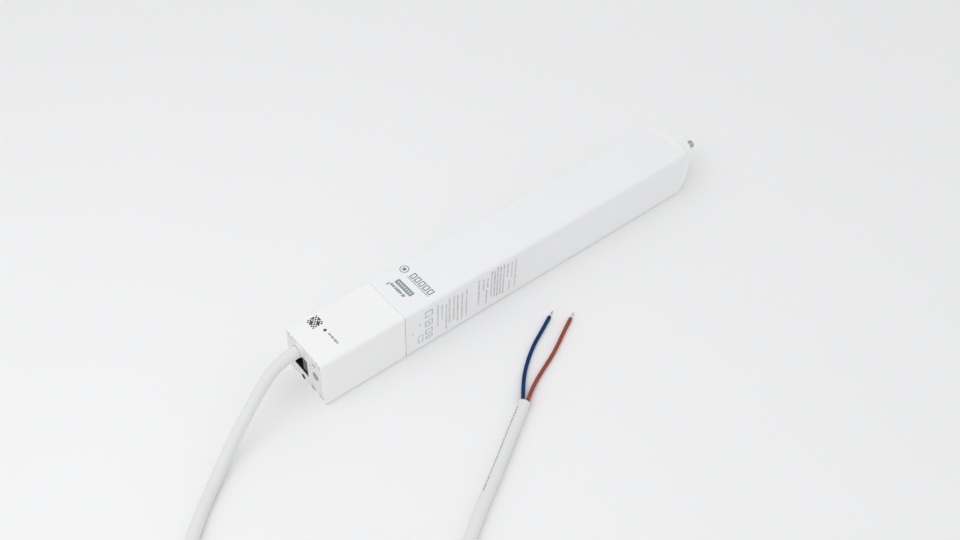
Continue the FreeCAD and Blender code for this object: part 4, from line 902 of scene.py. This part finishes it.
# Plain open frames on the side, beside the lines: distance, height of the middle, length, width and line.
# The small patches near them have no line.
SIDE_FRAMES = [
    (75.2, 28.3, 6.0, 5.6, 1.0), (75.2, 20.2, 6.0, 5.6, 1.0), (75.2, 12.6, 5.6, 4.4, 0.9),
    (75.2, 7.6, 5.6, 2.6, 0.8), (68.8, 9.6, 4.0, 6.4, 0.6),
]
SIDE_SPOTS = [(68.4, 22.7, 1.4, 1.8), (63.2, 17.4, 1.6, 0.8), (75.2, 20.2, 1.6, 1.6)]

# Tail box: chequered patch, diamond and one line of marks (distance, start, end, width).
PATCH_CORNER, PATCH_CELL, PATCH_CELLS = (11.7, 7.2), 0.94, 8
DIAMOND_PLACE, DIAMOND_SIDE = (16.7, 2.4), 1.8
TAIL_LINE = (17.0, -0.8, -10.6, 1.7)

# Top of the tube: a row of open squares over a fine line, and a dash beside a line of marks.
SQUARES_ALONG, SQUARES_START, SQUARES_END, SQUARES = 81.9, 7.0, -13.5, 5
SQUARE_LENGTH, SQUARE_GAP, SQUARE_LINE = 4.6, 0.9, 0.75
UNDERLINE_ALONG, UNDERLINE_WIDTH = 78.6, 0.45
BAR_LINE = (67.6, 8.6, -5.0, 2.2)
DASH_PLACE, DASH_SPANS = (66.2, 9.6), (2.4, 0.9)

# Slate bar with its row of white spots, and the ring with its dot, whose radius is a share of the ring's.
BAR_PLACE, BAR_SPANS, BAR_ROUND = (71.9, 0.8), (3.9, 15.4), 0.6
SPOTS, SPOT_PITCH, SPOT_SPANS = 7, 1.9, (1.3, 0.7)
RING_PLACE, RING_RADIUS, RING_LINE, DOT_SHARE = (80.9, 12.9), 3.0, 0.55, 0.45


def on_top(along, across, length, width, thickness):
    """Middle and spans of a patch on the top face."""
    middle = Vector((TAIL_FACE + along * MM, across * MM, TOP_FACE + thickness / 2))
    return middle, (length * MM, width * MM, thickness)


def on_side(along, height, length, width, thickness):
    """Middle and spans of a patch on the long side face."""
    middle = Vector((TAIL_FACE + along * MM, SIDE_FACE - thickness / 2, height * MM))
    return middle, (length * MM, thickness, width * MM)


def ink_block(bm, middle, spans, turn=Matrix()):
    """One small raised patch of ink, as a block of those spans."""
    matrix = Matrix.Translation(middle) @ turn @ Matrix.Diagonal((*spans, 1.0))
    bmesh.ops.create_cube(bm, size=1.0, matrix=matrix)


def add_words(bm, place, along, start, end, width, thickness, spread):
    """A line of small plain marks in groups, down from its start to its end."""
    height = start
    while height - MARK_LENGTH > end:
        for _ in range(spread.randint(*MARKS_IN_WORD)):
            if height - MARK_LENGTH < end:
                break
            mark_width = width * spread.choice(MARK_WIDTHS)
            ink_block(bm, *place(along, height - MARK_LENGTH / 2, mark_width, MARK_LENGTH, thickness))
            height -= MARK_LENGTH + MARK_GAP
        height -= WORD_GAP


def add_frame(bm, place, along, across, length, width, line, thickness):
    """A plain open rectangle of four strokes."""
    for sign in (-1, 1):
        ink_block(bm, *place(along + sign * (length - line) / 2, across, line, width, thickness))
        beside = across + sign * (width - line) / 2
        ink_block(bm, *place(along, beside, length - 2 * line, line, thickness))


class MOTOR_OT_side_print(bpy.types.Operator):
    """Prints two panels of plain lines and a column of plain frames on the long side"""

    bl_idname = "motor.side_print"
    bl_label = "Side print"

    def execute(self, context):
        thickness = context.scene.motor_sizes.ink_thickness
        spread = random.Random(21)
        bm = bmesh.new()
        for along, start, end in SIDE_LINES:
            add_words(bm, on_side, along, start, end, LINE_WIDTH, thickness, spread)
        add_piece("side_print_lines", bm, "white_housing", ink="pale_ink")
        bm = bmesh.new()
        for along, height, length, width, line in SIDE_FRAMES:
            add_frame(bm, on_side, along, height, length, width, line, thickness)
        for along, height, length, width in SIDE_SPOTS:
            ink_block(bm, *on_side(along, height, length, width, thickness))
        add_piece("side_print_marks", bm, "white_housing", ink="pale_ink")
        return {"FINISHED"}


class MOTOR_OT_top_print(bpy.types.Operator):
    """Prints a chequered patch, a slate bar, a ring and plain marks on the top face"""

    bl_idname = "motor.top_print"
    bl_label = "Top print"

    def execute(self, context):
        thickness = context.scene.motor_sizes.ink_thickness
        self.print_tail(thickness)
        self.print_lines(thickness)
        self.print_bar(thickness)
        return {"FINISHED"}

    def print_tail(self, thickness):
        """Chequered patch, diamond and one fine line of marks on the tail box."""
        bm = bmesh.new()
        for row in range(PATCH_CELLS):
            along = PATCH_CORNER[0] + (row + 0.5) * PATCH_CELL
            for column in range(PATCH_CELLS):
                across = PATCH_CORNER[1] + (column + 0.5) * PATCH_CELL
                if (row + column) % 2 == 0 or (row * column) % 3 == 1:
                    ink_block(bm, *on_top(along, across, PATCH_CELL, PATCH_CELL, thickness))
        turn = Matrix.Rotation(math.radians(45), 4, "Z")
        ink_block(bm, *on_top(*DIAMOND_PLACE, DIAMOND_SIDE, DIAMOND_SIDE, thickness), turn)
        add_piece("tail_print", bm, "white_plastic", ink="dark_ink")
        bm = bmesh.new()
        add_words(bm, on_top, *TAIL_LINE, thickness, random.Random(8))
        add_piece("tail_print_lines", bm, "white_plastic", ink="slate_ink")

    def print_lines(self, thickness):
        """Row of open squares with a fine line, a ring with a dot, and the marks beside the bar."""
        bm = bmesh.new()
        reach = SQUARES_START - SQUARES_END
        pitch = reach / SQUARES
        for step in range(SQUARES):
            across = SQUARES_START - pitch * (step + 0.5)
            add_frame(
                bm, on_top, SQUARES_ALONG, across, SQUARE_LENGTH, pitch - SQUARE_GAP, SQUARE_LINE, thickness
            )
        across = (SQUARES_START + SQUARES_END) / 2
        ink_block(bm, *on_top(UNDERLINE_ALONG, across, UNDERLINE_WIDTH, reach, thickness))
        add_words(bm, on_top, *BAR_LINE, thickness, random.Random(9))
        ink_block(bm, *on_top(*DASH_PLACE, *DASH_SPANS, thickness))
        middle = on_top(*RING_PLACE, RING_RADIUS, RING_RADIUS, thickness)[0]
        place = Matrix.Translation(middle + UP * (thickness / 2))
        radius = RING_RADIUS * MM
        ring = bmesh.ops.create_circle(bm, cap_ends=True, segments=48, radius=radius, matrix=place)
        disc = [face for face in bm.faces if ring["verts"][0] in face.verts]
        bmesh.ops.inset_region(
            bm, faces=disc, use_boundary=True, use_even_offset=True, thickness=RING_LINE * MM,
        )
        bmesh.ops.delete(bm, geom=disc, context="FACES")
        bmesh.ops.create_circle(bm, cap_ends=True, segments=32, radius=radius * DOT_SHARE, matrix=place)
        add_piece("top_print_lines", bm, "white_housing", ink="slate_ink")

    def print_bar(self, thickness):
        """Slate bar with rounded corners and a row of white spots on it."""
        bm = bmesh.new()
        ink_block(bm, *on_top(*BAR_PLACE, *BAR_SPANS, thickness))
        corners = [edge for edge in bm.edges if abs(edge.verts[0].co.z - edge.verts[1].co.z) > thickness / 2]
        bmesh.ops.bevel(
            bm, geom=corners, offset=BAR_ROUND * MM, offset_type="OFFSET", affect="EDGES", segments=5,
            profile=0.5, material=-1,
        )
        add_piece("top_print_bar", bm, "white_housing", ink="bar_ink")
        bm = bmesh.new()
        along, across = BAR_PLACE
        for spot in range(SPOTS):
            place = across + (spot - (SPOTS - 1) / 2) * SPOT_PITCH
            ink_block(bm, *on_top(along, place, *SPOT_SPANS, 2 * thickness))
        add_piece("top_bar_spots", bm, "white_housing")


class MOTOR_OT_frame_finishes(bpy.types.Operator):
    """Gives every part of the frame the finish of its slot, or its own"""

    bl_idname = "motor.frame_finishes"
    bl_label = "Frame finishes"

    def execute(self, context):
        made = make_finishes(context.scene.motor_colours)
        MATERIAL_NAMES.update((name, material.name) for name, material in made.items())
        for node, part in frame["nodes"].items():
            material = made[OWN_FINISHES.get(node, NODE_SLOTS[node])]
            if not part.material_slots:
                part.data.materials.append(material)
            for holder in part.material_slots:
                holder.material = material
        return {"FINISHED"}


# Studio: the colours of the even light and of what the camera sees round the table, and the lamp's aim.
EVEN_LIGHT = (0.985, 0.99, 1.0, 1)
BACKDROP = (0.80, 0.80, 0.82, 1)
LAMP_AIM = Vector((-0.05, -0.05, 0.0))


class MOTOR_OT_studio(bpy.types.Operator):
    """Sets the floor, the even light, the soft box and the camera"""

    bl_idname = "motor.studio"
    bl_label = "Studio"

    def execute(self, context):
        settings = context.scene.motor_studio
        self.add_floor(tuple(context.scene.motor_colours.floor), settings.floor_radius)
        self.light_world(context.scene, settings.ambient)
        self.add_soft_box(settings)
        self.add_camera(context.scene, settings)
        context.scene.view_settings.view_transform = "Standard"
        return {"FINISHED"}

    def add_floor(self, colour, radius):
        """Round table top under the part."""
        bm = bmesh.new()
        bmesh.ops.create_circle(bm, cap_ends=True, segments=96, radius=radius)
        mesh = bpy.data.meshes.new("studio_floor")
        bm.to_mesh(mesh)
        bm.free()
        floor = bpy.data.objects.new("studio_floor", mesh)
        bpy.context.scene.collection.objects.link(floor)
        mesh.materials.append(plain_finish("studio_floor", colour, 0.62, 0.004, 0.00002, 0.004))

    def light_world(self, scene, ambient):
        """Even pale light; the camera, gloss and clear pieces see a pale backdrop instead."""
        world = bpy.data.worlds.new("studio_world")
        world.use_nodes = True
        nodes = world.node_tree.nodes
        links = world.node_tree.links
        nodes.clear()
        even = nodes.new("ShaderNodeBackground")
        even.inputs["Color"].default_value = EVEN_LIGHT
        even.inputs["Strength"].default_value = ambient
        seen = nodes.new("ShaderNodeBackground")
        seen.inputs["Color"].default_value = BACKDROP
        path = nodes.new("ShaderNodeLightPath")
        shown = path.outputs["Is Camera Ray"]
        for ray in ("Is Glossy Ray", "Is Transmission Ray"):
            either = nodes.new("ShaderNodeMath")
            either.operation = "MAXIMUM"
            links.new(shown, either.inputs[0])
            links.new(path.outputs[ray], either.inputs[1])
            shown = either.outputs["Value"]
        mix = nodes.new("ShaderNodeMixShader")
        output = nodes.new("ShaderNodeOutputWorld")
        links.new(shown, mix.inputs["Fac"])
        links.new(even.outputs["Background"], mix.inputs[1])
        links.new(seen.outputs["Background"], mix.inputs[2])
        links.new(mix.outputs["Shader"], output.inputs["Surface"])
        scene.world = world

    def add_soft_box(self, settings):
        """Square lamp that lights the tail's end a little more."""
        lamp = bpy.data.lights.new("soft_box", "AREA")
        lamp.shape = "SQUARE"
        lamp.size = settings.lamp_size
        lamp.energy = settings.lamp_power
        holder = bpy.data.objects.new("soft_box", lamp)
        holder.location = settings.lamp_place
        holder.rotation_euler = (LAMP_AIM - holder.location).to_track_quat("-Z", "Y").to_euler()
        bpy.context.scene.collection.objects.link(holder)

    def add_camera(self, scene, settings):
        """Camera at the photograph's place: turned to its heading, tilted down, leant about its sight."""
        data = bpy.data.cameras.new("photo_camera")
        data.sensor_width = 36.0
        data.sensor_fit = "HORIZONTAL"
        data.lens = settings.lens
        data.clip_start = 0.01
        camera = bpy.data.objects.new("photo_camera", data)
        turn = Matrix.Rotation(settings.heading - math.pi / 2, 4, "Z")
        tilt = Matrix.Rotation(math.pi / 2 - settings.pitch, 4, "X")
        lean = Matrix.Rotation(settings.roll, 4, "Z")
        camera.matrix_world = Matrix.Translation(Vector(settings.place)) @ turn @ tilt @ lean
        scene.collection.objects.link(camera)
        scene.camera = camera


OPERATORS = (
    MOTOR_OT_frame_finishes,
    MOTOR_OT_studio,
    MOTOR_OT_supply_cord,
    MOTOR_OT_supply_wires,
    MOTOR_OT_end_fittings,
    MOTOR_OT_seam_shade_line,
    MOTOR_OT_side_print,
    MOTOR_OT_top_print,
)


class MOTOR_PT_panel(bpy.types.Panel):
    """Lists the pieces and their settings in the sidebar"""

    bl_idname = "MOTOR_PT_panel"
    bl_label = "Curtain Track Motor"
    bl_space_type = "VIEW_3D"
    bl_region_type = "UI"
    bl_category = "Track Motor"

    def draw(self, context):
        for operator in OPERATORS:
            self.layout.operator(operator.bl_idname)
        for group in (context.scene.motor_sizes, context.scene.motor_colours, context.scene.motor_studio):
            box = self.layout.box()
            for name in group.__annotations__:
                box.prop(group, name)


CLASSES = (MotorSizes, MotorColours, StudioSettings, *OPERATORS, MOTOR_PT_panel)


def register():
    for item in CLASSES:
        bpy.utils.register_class(item)
    bpy.types.Scene.motor_sizes = PointerProperty(type=MotorSizes)
    bpy.types.Scene.motor_colours = PointerProperty(type=MotorColours)
    bpy.types.Scene.motor_studio = PointerProperty(type=StudioSettings)


def unregister():
    del bpy.types.Scene.motor_studio
    del bpy.types.Scene.motor_colours
    del bpy.types.Scene.motor_sizes
    for item in reversed(CLASSES):
        bpy.utils.unregister_class(item)


def main():
    register()
    bpy.ops.motor.frame_finishes()
    bpy.ops.motor.studio()
    bpy.ops.motor.supply_cord()
    bpy.ops.motor.supply_wires()
    bpy.ops.motor.end_fittings()
    bpy.ops.motor.seam_gasket()
    bpy.ops.motor.side_print()
    bpy.ops.motor.top_print()


if __name__ == "__main__":
    main()
